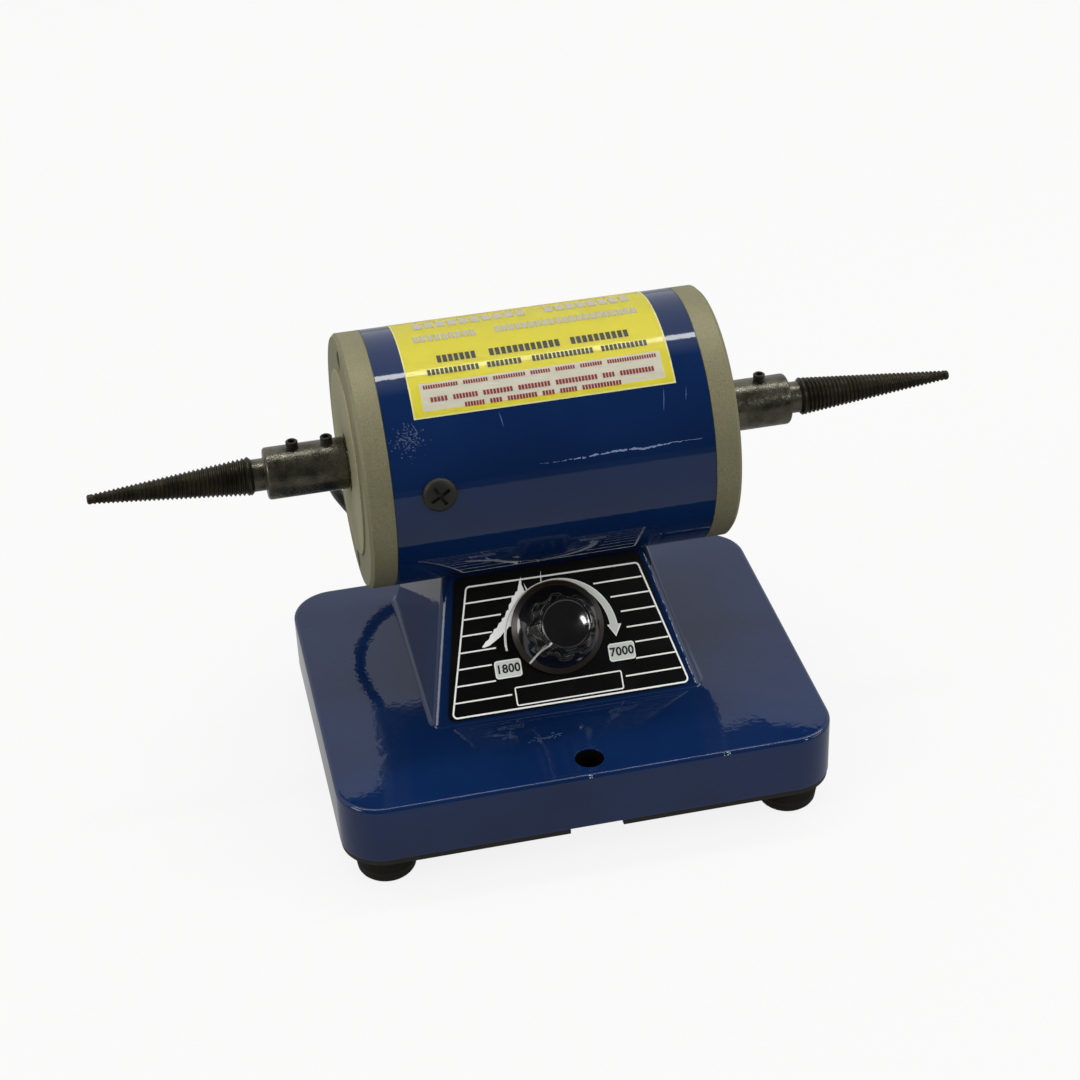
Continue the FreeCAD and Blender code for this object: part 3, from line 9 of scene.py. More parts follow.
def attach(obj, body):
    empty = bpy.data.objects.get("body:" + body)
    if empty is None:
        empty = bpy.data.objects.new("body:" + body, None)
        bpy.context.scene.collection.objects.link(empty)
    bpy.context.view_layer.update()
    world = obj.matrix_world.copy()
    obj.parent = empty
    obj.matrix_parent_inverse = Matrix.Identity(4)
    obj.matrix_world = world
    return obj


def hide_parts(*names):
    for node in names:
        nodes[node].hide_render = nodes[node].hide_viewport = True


# The looks of a bench polishing lathe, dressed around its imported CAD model.
# Lengths in the tables are millimetres in the row frame, angles are degrees.

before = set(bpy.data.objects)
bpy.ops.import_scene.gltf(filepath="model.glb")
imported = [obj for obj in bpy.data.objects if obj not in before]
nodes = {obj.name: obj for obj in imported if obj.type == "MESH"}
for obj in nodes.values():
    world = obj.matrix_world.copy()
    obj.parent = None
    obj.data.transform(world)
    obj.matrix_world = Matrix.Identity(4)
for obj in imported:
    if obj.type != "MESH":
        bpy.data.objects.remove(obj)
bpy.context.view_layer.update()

MM = 0.001
X_AXIS, Y_AXIS, Z_AXIS = Vector((1, 0, 0)), Vector((0, 1, 0)), Vector((0, 0, 1))
AXIS = Vector((0, 27.0, 137.7))
DRUM_RADIUS = 52.5
PANEL_SLOPE = radians(52)
PANEL_UP = Vector((0, cos(PANEL_SLOPE), sin(PANEL_SLOPE)))
PANEL_OUT = Vector((0, -sin(PANEL_SLOPE), cos(PANEL_SLOPE)))
PANEL_FOOT = Vector((0, -33.0, 41.1))
PLATE_TOP = 0.8
DECK_Z, DECK_FRONT, DECK_EDGE = 41.1, -79.0, 1.8
KNOB_UP_SLOPE = 33.6


def linked(name, data):
    """A new object in the scene."""
    made = bpy.data.objects.new(name, data)
    bpy.context.scene.collection.objects.link(made)
    return made


# Camera

AZIMUTH, ELEVATION, ROLL = (radians(a) for a in (-11.171, 33.548, -2.457))
CAMERA_TARGET = Vector((2.24, 27.0, 85.5))
CAMERA_DISTANCE = 1014.2
CAMERA_LENS = 79.6


def make_camera():
    back = Vector((sin(AZIMUTH) * cos(ELEVATION),
                   -cos(AZIMUTH) * cos(ELEVATION), sin(ELEVATION)))
    right = (-back).cross(Z_AXIS).normalized()
    up = right.cross(-back)
    x = right * cos(ROLL) + up * sin(ROLL)
    y = up * cos(ROLL) - right * sin(ROLL)
    camera = linked("camera", bpy.data.cameras.new("camera"))
    camera.matrix_world = Matrix.Translation((CAMERA_TARGET + back * CAMERA_DISTANCE) * MM) @ \
        Matrix((x, y, back)).transposed().to_4x4()
    camera.data.sensor_width = 36.0
    camera.data.lens = CAMERA_LENS
    camera.data.clip_start = 0.01
    bpy.context.scene.camera = camera
    return camera


# Shaders

class Shader:
    """A node material built round one Principled shader, in object coordinates."""

    def __init__(self, name, color, roughness, **values):
        self.material = bpy.data.materials.new(name)
        self.material.use_nodes = True
        self.tree = self.material.node_tree
        self.surface = self.tree.nodes["Principled BSDF"]
        self.put("Base Color", (*color, 1.0))
        self.put("Roughness", roughness)
        for key, value in values.items():
            self.put(key.replace("_", " ").title().replace("Ior", "IOR"), value)
        self.place = self.node("ShaderNodeTexCoord").outputs["Object"]

    def node(self, kind, **attributes):
        node = self.tree.nodes.new(kind)
        for key, value in attributes.items():
            setattr(node, key, value)
        return node

    def connect(self, socket, value):
        if isinstance(value, bpy.types.NodeSocket):
            self.tree.links.new(value, socket)
        else:
            socket.default_value = value

    def put(self, name, value):
        self.connect(self.surface.inputs[name], value)

    def stretched(self, scale):
        node = self.node("ShaderNodeMapping")
        self.connect(node.inputs["Vector"], self.place)
        node.inputs["Scale"].default_value = scale
        return node.outputs["Vector"]

    def noise(self, scale, detail=2.0, rough=0.5, place=None):
        node = self.node("ShaderNodeTexNoise")
        self.connect(node.inputs["Vector"], place or self.place)
        node.inputs["Scale"].default_value = scale
        node.inputs["Detail"].default_value = detail
        node.inputs["Roughness"].default_value = rough
        return node.outputs["Fac"]

    def cells(self, scale, feature="F1"):
        node = self.node("ShaderNodeTexVoronoi", feature=feature)
        self.connect(node.inputs["Vector"], self.place)
        node.inputs["Scale"].default_value = scale
        return node.outputs["Distance"]

    def span(self, value, low, high, to_low=0.0, to_high=1.0):
        node = self.node("ShaderNodeMapRange", clamp=True)
        for name, number in (("Value", value), ("From Min", low), ("From Max", high),
                             ("To Min", to_low), ("To Max", to_high)):
            self.connect(node.inputs[name], number)
        return node.outputs["Result"]

    def math(self, operation, *values):
        node = self.node("ShaderNodeMath", operation=operation)
        for socket, value in zip(node.inputs, values):
            self.connect(socket, value)
        return node.outputs[0]

    def mix(self, share, first, second):
        node = self.node("ShaderNodeMix", data_type="RGBA")
        self.connect(node.inputs[0], share)
        for index, value in ((6, first), (7, second)):
            self.connect(node.inputs[index],
                         value if isinstance(value, bpy.types.NodeSocket) else (*value, 1.0))
        return node.outputs[2]

    def bump(self, height, distance, strength=1.0, under=None):
        node = self.node("ShaderNodeBump")
        node.inputs["Strength"].default_value = strength
        node.inputs["Distance"].default_value = distance * MM
        self.connect(node.inputs["Height"], height)
        if under is not None:
            self.connect(node.inputs["Normal"], under)
        return node.outputs["Normal"]

    def soft_edges(self, radius):
        node = self.node("ShaderNodeBevel", samples=4)
        node.inputs["Radius"].default_value = radius * MM
        return node.outputs["Normal"]


def painted(name, wave, peel, edge, gloss):
    """Blue enamel with orange peel, slow waves and a few dull specks."""
    s = Shader(name, (0.0024, 0.0115, 0.050), 0.42, coat_weight=1.0, coat_ior=1.45,
               specular_ior_level=0.0)
    tint = s.span(s.noise(18, 3), 0.35, 0.65)
    color = s.mix(tint, (0.0020, 0.0100, 0.044), (0.0029, 0.0135, 0.056))
    specks = s.span(s.cells(900), 0.0, 0.12, 1.0, 0.0)
    thin = s.span(s.noise(320, 2), 0.60, 0.68)
    s.put("Base Color", s.mix(s.math("MULTIPLY", specks, thin), color, (0.03, 0.05, 0.12)))
    s.put("Coat Roughness", s.span(s.noise(60, 4), 0.35, 0.75, gloss, gloss + 0.05))
    height = s.math("ADD", s.math("MULTIPLY", s.noise(55, 1), wave),
                    s.math("MULTIPLY", s.noise(420, 1), peel))
    normal = s.bump(height, 1.0, 1.0, s.soft_edges(edge) if edge else None)
    s.put("Normal", normal)
    s.put("Coat Normal", normal)
    return s.material


def blasted_aluminium(name, gain):
    s = Shader(name, (0.24, 0.23, 0.16), 0.62, metallic=0.55)
    fine = s.noise(2300, 3, 0.7)
    color = s.mix(s.span(fine, 0.32, 0.68), tuple(gain * c for c in (0.125, 0.116, 0.066)),
                  tuple(gain * c for c in (0.255, 0.238, 0.140)))
    pits = s.math("MULTIPLY", s.span(s.cells(700), 0.05, 0.17, 1.0, 0.0),
                  s.span(s.noise(240, 2), 0.5, 0.6))
    color = s.mix(pits, color, (0.065, 0.06, 0.03))
    smears = s.span(s.noise(35, 4, 0.6), 0.5, 0.72, 0.0, 0.35)
    color = s.mix(smears, color, (0.14, 0.13, 0.07))
    s.put("Base Color", color)
    s.put("Roughness", s.span(fine, 0.3, 0.7, 0.5, 0.72))
    s.put("Normal", s.bump(fine, 0.05, 0.8, s.soft_edges(0.35)))
    return s.material


def black_oxide(name, color, rough, rust):
    s = Shader(name, color, rough, metallic=0.8)
    stain = s.span(s.noise(300, 4, 0.65), 0.55, 0.72)
    color = s.mix(s.span(s.noise(130, 3), 0.35, 0.65), tuple(0.4 * c for c in color), color)
    color = s.mix(s.math("MULTIPLY", stain, rust), color, (0.085, 0.040, 0.014))
    s.put("Base Color", color)
    s.put("Roughness", s.span(s.noise(900, 3, 0.7), 0.3, 0.7, rough - 0.12, rough + 0.14))
    s.put("Normal", s.bump(s.noise(480, 3, 0.6), 0.22, 0.8))
    return s.material


def moulding(name, color, rough, grain=0.02, scale=1400, **values):
    s = Shader(name, color, rough, **values)
    dust = s.span(s.noise(90, 4, 0.6), 0.45, 0.75, 0.0, 0.5)
    s.put("Base Color", s.mix(dust, color, tuple(0.004 + 1.25 * c for c in color)))
    s.put("Roughness", s.span(s.noise(140, 3), 0.3, 0.7, rough, min(1.0, rough + 0.1)))
    s.put("Normal", s.bump(s.noise(scale, 2), grain))
    return s.material


def metal(name, color, rough, streak=(1, 1, 1), scale=500):
    s = Shader(name, color, rough, metallic=1.0)
    grain = s.noise(scale, 3, 0.6, s.stretched(streak))
    s.put("Base Color", s.mix(s.span(grain, 0.3, 0.7), tuple(0.8 * c for c in color), color))
    s.put("Roughness", s.span(grain, 0.3, 0.7, max(0.04, rough - 0.08), rough + 0.1))
    s.put("Normal", s.bump(grain, 0.02))
    return s.material


def stacked_sheets(name):
    """Laminations along the spindle."""
    s = Shader(name, (0.30, 0.30, 0.31), 0.4, metallic=0.9)
    wave = s.node("ShaderNodeTexWave", wave_type="BANDS", bands_direction="X")
    s.connect(wave.inputs["Vector"], s.place)
    wave.inputs["Scale"].default_value = 300
    line = s.span(wave.outputs["Fac"], 0.2, 0.5)
    s.put("Base Color", s.mix(line, (0.10, 0.095, 0.09), (0.34, 0.34, 0.35)))
    s.put("Normal", s.bump(line, 0.05))
    return s.material


def wound_wire(name):
    """Enamelled wire, seen as fine strands."""
    s = Shader(name, (0.45, 0.14, 0.04), 0.3, metallic=0.6, coat_weight=0.6)
    strands = s.noise(2600, 1, 0.4, s.stretched((0.25, 1, 1)))
    s.put("Base Color", s.mix(s.span(strands, 0.35, 0.65), (0.22, 0.055, 0.015),
                              (0.58, 0.20, 0.06)))
    s.put("Normal", s.bump(strands, 0.12))
    return s.material


def printed(name, color, rough=0.35, **values):
    """Printing ink or vinyl with a little uneven gloss."""
    s = Shader(name, color, rough, **values)
    s.put("Base Color", s.mix(s.span(s.noise(120, 4), 0.3, 0.7), tuple(0.965 * c for c in color),
                              color))
    s.put("Roughness", s.span(s.noise(500, 3), 0.3, 0.7, rough - 0.06, rough + 0.08))
    s.put("Normal", s.bump(s.noise(260, 2), 0.012))
    return s.material


def braided(name):
    """A fabric sleeve over the wires."""
    s = Shader(name, (0.014, 0.013, 0.012), 0.7, sheen_weight=0.3)
    weave = s.cells(1500)
    s.put("Base Color", s.mix(s.span(weave, 0.1, 0.5), (0.03, 0.028, 0.025),
                              (0.008, 0.008, 0.008)))
    s.put("Normal", s.bump(weave, 0.25))
    return s.material


def circuit(name):
    s = Shader(name, (0.02, 0.14, 0.06), 0.3, coat_weight=0.5)
    tracks = s.span(s.cells(160, "DISTANCE_TO_EDGE"), 0.04, 0.07)
    s.put("Base Color", s.mix(tracks, (0.035, 0.22, 0.10), (0.015, 0.11, 0.045)))
    s.put("Normal", s.bump(tracks, 0.03))
    return s.material


# name: (maker, its values in order), with the shader's own sockets last
MATERIAL_ROWS = {
    "casting_paint": (painted, 0.085, 0.035, 0.5, 0.035),
    "drum_paint": (painted, 0.012, 0.015, 0.0, 0.035),
    "blasted_aluminium": (blasted_aluminium, 1.0),
    # The pad is a lighter copy of the caps' aluminium: painted light, so the cap faces read
    # brighter than the rims.
    "cap_pad": (blasted_aluminium, 1.45),
    "oxide_sleeve": (black_oxide, (0.115, 0.110, 0.082), 0.28, 0.3),
    "oxide_taper": (black_oxide, (0.040, 0.036, 0.022), 0.42, 0.3),
    "oxide_screw": (black_oxide, (0.05, 0.048, 0.04), 0.42, 0.1),
    "knob_gloss": (moulding, (0.004, 0.004, 0.004), 0.10, 0.004, 300,
                   {"coat_weight": 1.0, "coat_roughness": 0.04}),
    "knob_skirt": (moulding, (0.013, 0.009, 0.004), 0.30, 0.006, 500),
    "brush_cap": (moulding, (0.0075, 0.007, 0.0035), 0.46, 0.03, 900, {"specular_ior_level": 0.4}),
    "switch_black": (moulding, (0.012, 0.012, 0.012), 0.32, 0.02),
    "gloss_black": (moulding, (0.006, 0.006, 0.006), 0.14, 0.006, 300, {"coat_weight": 0.6}),
    "plate_black": (moulding, (0.0016, 0.0016, 0.0015), 0.5, 0.002, 350,
                    {"specular_ior_level": 0.0, "coat_weight": 0.5, "coat_roughness": 0.28}),
    "cover_sheet": (moulding, (0.006, 0.006, 0.006), 0.42, 0.02, 700, {"specular_ior_level": 0.3}),
    "rubber": (moulding, (0.008, 0.007, 0.0045), 0.62, 0.05, 1200, {"specular_ior_level": 0.12}),
    "zinc": (metal, (0.55, 0.55, 0.56), 0.28),
    "brass": (metal, (0.62, 0.44, 0.17), 0.25),
    "ground_steel": (metal, (0.50, 0.50, 0.51), 0.2, (8, 1, 1), 300),
    "ferrite": (moulding, (0.035, 0.034, 0.034), 0.7, 0.06, 900),
    "laminations": (stacked_sheets,),
    "copper": (metal, (0.72, 0.33, 0.18), 0.25, (1, 1, 1), 260),
    "windings": (wound_wire,),
    "carbon": (moulding, (0.020, 0.020, 0.021), 0.55, 0.04, 1800),
    "anodised": (metal, (0.04, 0.04, 0.042), 0.42),
    "circuit_green": (circuit,),
    "capacitor_sleeve": (moulding, (0.010, 0.018, 0.05), 0.25, 0.01),
    "terminal_green": (moulding, (0.02, 0.20, 0.07), 0.4, 0.02),
    "lead_sleeve": (braided,),
    "ink_white": (printed, (0.80, 0.81, 0.78), 0.4),
    "ink_grey": (printed, (0.56, 0.58, 0.54), 0.4),
    "ink_dim": (printed, (0.27, 0.25, 0.19), 0.4, {"coat_weight": 0.6, "coat_roughness": 0.05}),
    "ink_red": (printed, (0.17, 0.012, 0.016), 0.4),
    # Near-black for the painted shade in the bench bolt hole.
    "hole_dark": (printed, (0.003, 0.003, 0.003), 0.8, {"specular_ior_level": 0.0}),
    # White for the painted glare on the control plate.
    "bare_white": (printed, (0.88, 0.88, 0.86), 0.45),
    "ink_black": (printed, (0.006, 0.006, 0.006), 0.4),
    "label_yellow": (printed, (0.80, 0.71, 0.030), 0.5,
                     {"coat_weight": 0.8, "coat_roughness": 0.05}),
    "label_edge": (printed, (0.80, 0.78, 0.42), 0.3),
    "label_panel": (printed, (0.72, 0.69, 0.56), 0.5,
                    {"coat_weight": 0.8, "coat_roughness": 0.05}),
    # Pale scratches, and the painted reflection streak on the drum's front.
    "scuff_pale": (printed, (0.13, 0.17, 0.30), 0.5),
    "scuff_faint": (printed, (0.030, 0.050, 0.115), 0.5),
    "smudge": (printed, (0.045, 0.065, 0.12), 0.5),
    "primer_chip": (printed, (0.55, 0.56, 0.52), 0.6),
}


def made_material(name, maker, *values):
    if values and isinstance(values[-1], dict):
        return maker(name, *values[:-1], **values[-1])
    return maker(name, *values)


MATERIALS = {name: made_material(name, *row) for name, row in MATERIAL_ROWS.items()}

NODES_BY_MATERIAL = {
    "casting_paint": "base_casting",
    "cover_sheet": "bottom_cover",
    "drum_paint": "motor_shell",
    "blasted_aluminium": "end_cap_left end_cap_right",
    "zinc": "foot_screws motor_bolts preload_washer brush_spring_back brush_spring_front "
            "speed_pot board_screws",
    "oxide_screw": "tie_bolts set_screws_left set_screws_right",
    "ferrite": "field_magnet_back field_magnet_front",
    "ground_steel": "bearing_outer_left bearing_outer_right bearing_inner_left "
                    "bearing_inner_right motor_shaft",
    "gloss_black": "brush_holder_back brush_holder_front brush_cap_back brush_cap_front "
                   "switch_rocker",
    "carbon": "carbon_brush_back carbon_brush_front",
    "lead_sleeve": "motor_lead",
    "rubber": "lead_grommet_cap lead_grommet_pedestal foot_front_left foot_front_right "
              "foot_rear_left foot_rear_right",
    "plate_black": "control_plate",
    "brass": "pot_nut pot_shaft board_standoffs",
    "knob_gloss": "speed_knob",
    "switch_black": "switch_body cord_gland",
    "circuit_green": "control_board",
    "anodised": "heat_sink",
    "capacitor_sleeve": "filter_capacitor",
    "windings": "choke_coil armature_windings",
    "terminal_green": "terminal_block",
    "laminations": "armature_core",
    "copper": "commutator",
    "oxide_sleeve": "tapered_spindle_left tapered_spindle_right",
}
SMOOTH_ANGLE = radians(32)


def smooth(mesh, angle=SMOOTH_ANGLE):
    """Smooth shading, with every edge sharper than the angle kept."""
    bm = bmesh.new()
    bm.from_mesh(mesh)
    for face in bm.faces:
        face.smooth = True
    for edge in bm.edges:
        edge.smooth = len(edge.link_faces) == 2 and edge.calc_face_angle(0.0) < angle
    bm.to_mesh(mesh)
    bm.free()


def dress_nodes():
    for material, names in NODES_BY_MATERIAL.items():
        for name in names.split():
            nodes[name].data.materials.clear()
            nodes[name].data.materials.append(MATERIALS[material])
            weld_and_smooth(nodes[name])


def weld_and_smooth(node):
    """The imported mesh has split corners, so its smooth normals come from modifiers."""
    weld = node.modifiers.new("weld", "WELD")
    weld.merge_threshold = 1e-6
    for face in node.data.polygons:
        face.use_smooth = True
    node.data.update()
    group = node.modifiers.new("split", "EDGE_SPLIT")
    group.split_angle = SMOOTH_ANGLE
    group.use_edge_sharp = False


# Mesh builders

def placed(origin, x_axis, z_axis):
    """The matrix from a local frame in millimetres to the row frame in metres."""
    turn = Matrix((x_axis, z_axis.cross(x_axis), z_axis)).transposed().to_4x4()
    return Matrix.Scale(MM, 4) @ Matrix.Translation(origin) @ turn


def radial(angle):
    """The direction away from the spindle, from straight back up through the top."""
    return Vector((0, cos(radians(angle)), sin(radians(angle))))


def new_piece(name, bm, materials, body, replaces=(), sharp=SMOOTH_ANGLE):
    """Adds a mesh to the scene, riding on a body."""
    mesh = bpy.data.meshes.new(name)
    bmesh.ops.recalc_face_normals(bm, faces=bm.faces)
    bm.to_mesh(mesh)
    bm.free()
    for material in materials if isinstance(materials, (list, tuple)) else [materials]:
        mesh.materials.append(MATERIALS[material])
    smooth(mesh, sharp)
    piece = linked(name, mesh)
    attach(piece, body)
    if replaces:
        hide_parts(*replaces)
    return piece


def ring_point(radius, angle, along):
    """A point at an angle round local z."""
    return Vector((radius * cos(angle), radius * sin(angle), along))


def lathe(bm, profile, place, segments=64, radius_at=None, closed=False, material_at=None):
    """Turns (distance along, radius) points about local z. A radius of 0 closes the end."""
    rings = []
    for index, (along, radius) in enumerate(profile):
        ring = []
        for step in range(segments):
            angle = 2 * pi * step / segments
            reach = radius_at(index, along, radius, angle) if radius_at and radius else radius
            ring.append(bm.verts.new(place @ ring_point(reach, angle, along)))
            if not radius:
                break
        rings.append(ring)
    pairs = list(zip(rings, rings[1:]))
    if closed:
        pairs.append((rings[-1], rings[0]))
    for index, (first, second) in enumerate(pairs):
        for step in range(segments):
            after = (step + 1) % segments
            corners = []
            for vert in (first[step % len(first)], first[after % len(first)],
                         second[after % len(second)], second[step % len(second)]):
                if vert not in corners:
                    corners.append(vert)
            face = bm.faces.new(corners)
            if material_at:
                face.material_index = material_at(index)
    return rings


def arc_points(centre, radius, start, end, steps):
    """Points round a circle in the profile plane, as (along, radius)."""
    points = []
    for step in range(steps + 1):
        angle = radians(start + (end - start) * step / steps)
        points.append((centre[0] + radius * sin(angle), centre[1] + radius * cos(angle)))
    return points


# Tapered spindles

SLEEVE_START, SLEEVE_END, SLEEVE_RADIUS = 76.8, 110.0, 10.7
BORE_END, BORE_RADIUS = 104.8, 6.35
NECK_END, NECK_RADIUS = 115.0, 6.6
TAPER_START, TAPER_END, TAPER_TIP = 116.3, 180.8, 181.8
TAPER_ROOT_RADIUS, TAPER_TIP_RADIUS = 7.9, 2.0
PITCH = 1.8
THREAD_ROWS = ((0.0, 0.0), (0.12, 0.0), (0.46, 1.0), (0.66, 1.0))


def taper_radius(along):
    share = (along - TAPER_START) / (TAPER_END - TAPER_START)
    return TAPER_ROOT_RADIUS + (TAPER_TIP_RADIUS - TAPER_ROOT_RADIUS) * share


def thread_depth(along):
    """How deep the thread is cut, fading out at both ends."""
    fade = min(1.0, (along - TAPER_START) / PITCH, (TAPER_END - along) / PITCH)
    return max(0.0, fade) * (0.42 + 0.055 * taper_radius(along))


def threaded_spindle(side, name):
    """The sleeve, neck and taper, with a real helical thread on the taper."""
    hand = -1 if side < 0 else 1
    segments = 56
    place = placed(AXIS, Y_AXIS, X_AXIS * side)
    bm = bmesh.new()
    edge = SLEEVE_END - 1.3
    lathe(bm, [(BORE_END, 0), (BORE_END, BORE_RADIUS), (SLEEVE_START, BORE_RADIUS),
               (SLEEVE_START, SLEEVE_RADIUS - 0.65)]
          + arc_points((SLEEVE_START + 0.65, SLEEVE_RADIUS - 0.65), 0.65, -90, 0, 3)
          + [(SLEEVE_START + 9, SLEEVE_RADIUS), (SLEEVE_START + 18, SLEEVE_RADIUS),
             (SLEEVE_START + 26, SLEEVE_RADIUS)]
          + arc_points((edge, SLEEVE_RADIUS - 1.3), 1.3, 0, 90, 5)
          + [(SLEEVE_END, NECK_RADIUS + 0.5), (SLEEVE_END + 0.5, NECK_RADIUS),
             (NECK_END, NECK_RADIUS), (TAPER_START, TAPER_ROOT_RADIUS)], place, segments)
    turns = ceil((TAPER_END - TAPER_START) / PITCH) + 1
    rows = []
    for row in range(-len(THREAD_ROWS), turns * len(THREAD_ROWS)):
        turn, part = divmod(row, len(THREAD_ROWS))
        line = []
        for step in range(segments):
            offset = step / segments if hand > 0 else -step / segments + 1
            along = TAPER_START + (turn + THREAD_ROWS[part][0] + offset) * PITCH
            along = min(max(along, TAPER_START), TAPER_END)
            radius = taper_radius(along) - thread_depth(along) * THREAD_ROWS[part][1]
            angle = 2 * pi * step / segments
            line.append(bm.verts.new(place @ ring_point(radius, angle, along)))
        rows.append(line)
    width = len(THREAD_ROWS)
    for row in range(len(rows) - 1):
        for step in range(segments):
            after = (step + 1) % segments
            shift = 0
            if after == 0:
                shift = width if hand > 0 else -width
            if not 0 <= row + shift < len(rows) - 1:
                continue
            bm.faces.new((rows[row][step], rows[row + shift][after],
                          rows[row + 1 + shift][after], rows[row + 1][step]))
    lathe(bm, [(TAPER_END, TAPER_TIP_RADIUS)]
          + arc_points((TAPER_END, 1.0), 1.0, 20, 90, 4) + [(TAPER_TIP, 0)], place, segments)
    bmesh.ops.remove_doubles(bm, verts=bm.verts, dist=1e-7)
    bmesh.ops.dissolve_degenerate(bm, edges=bm.edges, dist=1e-8)
    loose = [vert for vert in bm.verts if not vert.link_faces]
    bmesh.ops.delete(bm, geom=loose, context="VERTS")
    for face in bm.faces:
        if abs(face.calc_center_median().x) > NECK_END * MM:
            face.material_index = 1
    return new_piece("threaded_spindle_" + name, bm, ["oxide_sleeve", "oxide_taper"], "rotor",
                     ["tapered_spindle_" + name], radians(38))


SCREW_TOP, SCREW_RADIUS, SHAFT_RADIUS = 13.7, 2.5, 6.35
SOCKET_FLATS, SOCKET_DEPTH = 2.5, 2.2
SCREW_PLACES = (84.0, 98.0)


def hexagonal(angle, flats):
    sixth = pi / 3
    return flats / 2 / cos((angle + sixth / 2) % sixth - sixth / 2)


def socket_screws(side, name):
    """Two socket set screws with a few turns of thread showing."""
    bm = bmesh.new()
    for along in SCREW_PLACES:
        place = placed(AXIS + X_AXIS * side * along, X_AXIS, Z_AXIS)
        profile = [(SHAFT_RADIUS, 0), (SHAFT_RADIUS, SCREW_RADIUS - 0.6),
                   (SHAFT_RADIUS + 0.6, SCREW_RADIUS)]
        level = SLEEVE_RADIUS - 0.6
        while level < SCREW_TOP - 1.1:
            profile += [(level, SCREW_RADIUS), (level + 0.25, SCREW_RADIUS - 0.32),
                        (level + 0.5, SCREW_RADIUS - 0.32), (level + 0.75, SCREW_RADIUS)]
            level += 0.8
        profile += [(SCREW_TOP - 0.35, SCREW_RADIUS), (SCREW_TOP, SCREW_RADIUS - 0.35)]
        socket = len(profile)
        profile += [(SCREW_TOP, SOCKET_FLATS / 2 + 0.25), (SCREW_TOP - 0.2, SOCKET_FLATS / 2),
                    (SCREW_TOP - SOCKET_DEPTH, SOCKET_FLATS / 2), (SCREW_TOP - SOCKET_DEPTH, 0)]

        def reach(index, level, radius, angle):
            if index <= socket:
                return radius
            return hexagonal(angle, SOCKET_FLATS)

        lathe(bm, profile, place, 48, reach)
    return new_piece("socket_screws_" + name, bm, "oxide_screw", "rotor",
                     ["set_screws_" + name])


# Knob

KNOB_LOW = 1.4
KNOB_PROFILE = (
    (1.4, 19.0), (1.75, 19.45), (2.6, 19.5), (3.0, 19.3), (3.25, 18.9), (3.7, 18.2), (4.3, 17.2),
    (5.1, 16.1), (6.1, 15.1), (7.3, 14.2), (8.6, 13.5), (9.8, 13.1), (12.0, 12.75),
    (15.0, 12.35), (18.0, 12.0), (21.0, 11.65), (23.0, 11.45), (23.9, 11.32), (24.45, 11.1),
    (24.8, 10.8), (24.95, 10.45), (24.98, 10.1), (24.88, 9.8), (24.7, 9.6), (24.6, 9.4),
    (24.69, 9.0), (24.83, 8.5), (24.95, 8.0), (25.18, 7.0), (25.37, 6.0), (25.53, 5.0),
    (25.66, 4.0), (25.76, 3.0), (25.84, 2.0),
)
FLUTE_COUNT, FLUTE_BITE = 8, 1.35
FLUTE_FROM, FLUTE_FULL, FLUTE_TO = 7.0, 10.5, 24.2


def at_knob():
    return placed(PANEL_FOOT + PANEL_UP * KNOB_UP_SLOPE, X_AXIS, PANEL_OUT)


def flute_share(angle):
    """0 on a land, 1 in the middle of a flute."""
    cycle = (angle * FLUTE_COUNT / (2 * pi)) % 1.0
    distance = min(1.0, abs(cycle - 0.5) * 3)
    return 1 - distance * distance


def knob_reach(along, radius, angle):
    if radius < 9.9 or along < FLUTE_FROM:
        return radius
    fade = min(1.0, (along - FLUTE_FROM) / (FLUTE_FULL - FLUTE_FROM))
    if along > FLUTE_TO:
        fade *= max(0.0, 1 - (along - FLUTE_TO) / 0.8)
    return radius - FLUTE_BITE * fade * flute_share(angle)


def dial_knob():
    profile = [(19.0, 0), (19.0, 3.0), (5.4, 3.0), (5.4, 8.5), (KNOB_LOW, 8.5)]
    skirt = len(profile)
    profile += list(KNOB_PROFILE) + [(25.9, 0)]
    bm = bmesh.new()
    lathe(bm, profile, at_knob(), 192, lambda index, along, radius, angle: (
        knob_reach(along, radius, angle) if index >= skirt else radius),
        material_at=lambda index: 1 if skirt - 1 <= index < skirt + 6 else 0)
    return new_piece("dial_knob", bm, ["knob_gloss", "knob_skirt"], "knob",
                     ["speed_knob"], radians(27))


POINTER_ANGLE = 223.0


def knob_pointer():
    """The white line from the crown's edge down over the flare to the skirt."""
    direction = Vector((cos(radians(POINTER_ANGLE)),
                        sin(radians(POINTER_ANGLE)), 0))
    across = Vector((-direction.y, direction.x, 0))
    outline = [(24.9, 9.8), (25.0, 10.1), (24.97, 10.45), (24.82, 10.8), (24.45, 11.12)]
    outline += [(along, knob_reach(along, radius, radians(POINTER_ANGLE)))
                for along, radius in reversed(KNOB_PROFILE)
                if 3.2 < along < 24.0 and radius > 11.0]
    outline.append((3.05, 19.25))
    place = at_knob()
    bm = bmesh.new()
    rows = []
    for along, radius in outline:
        middle = direction * (radius + 0.05) + Z_AXIS * (along + 0.04)
        rows.append([bm.verts.new(place @ (middle + across * side * 0.42)) for side in (-1, 1)])
    for first, second in zip(rows, rows[1:]):
        bm.faces.new((first[0], first[1], second[1], second[0]))
    bmesh.ops.solidify(bm, geom=bm.faces[:], thickness=0.06 * MM)
    return new_piece("knob_pointer", bm, "ink_white", "knob")


# Brush caps, feet

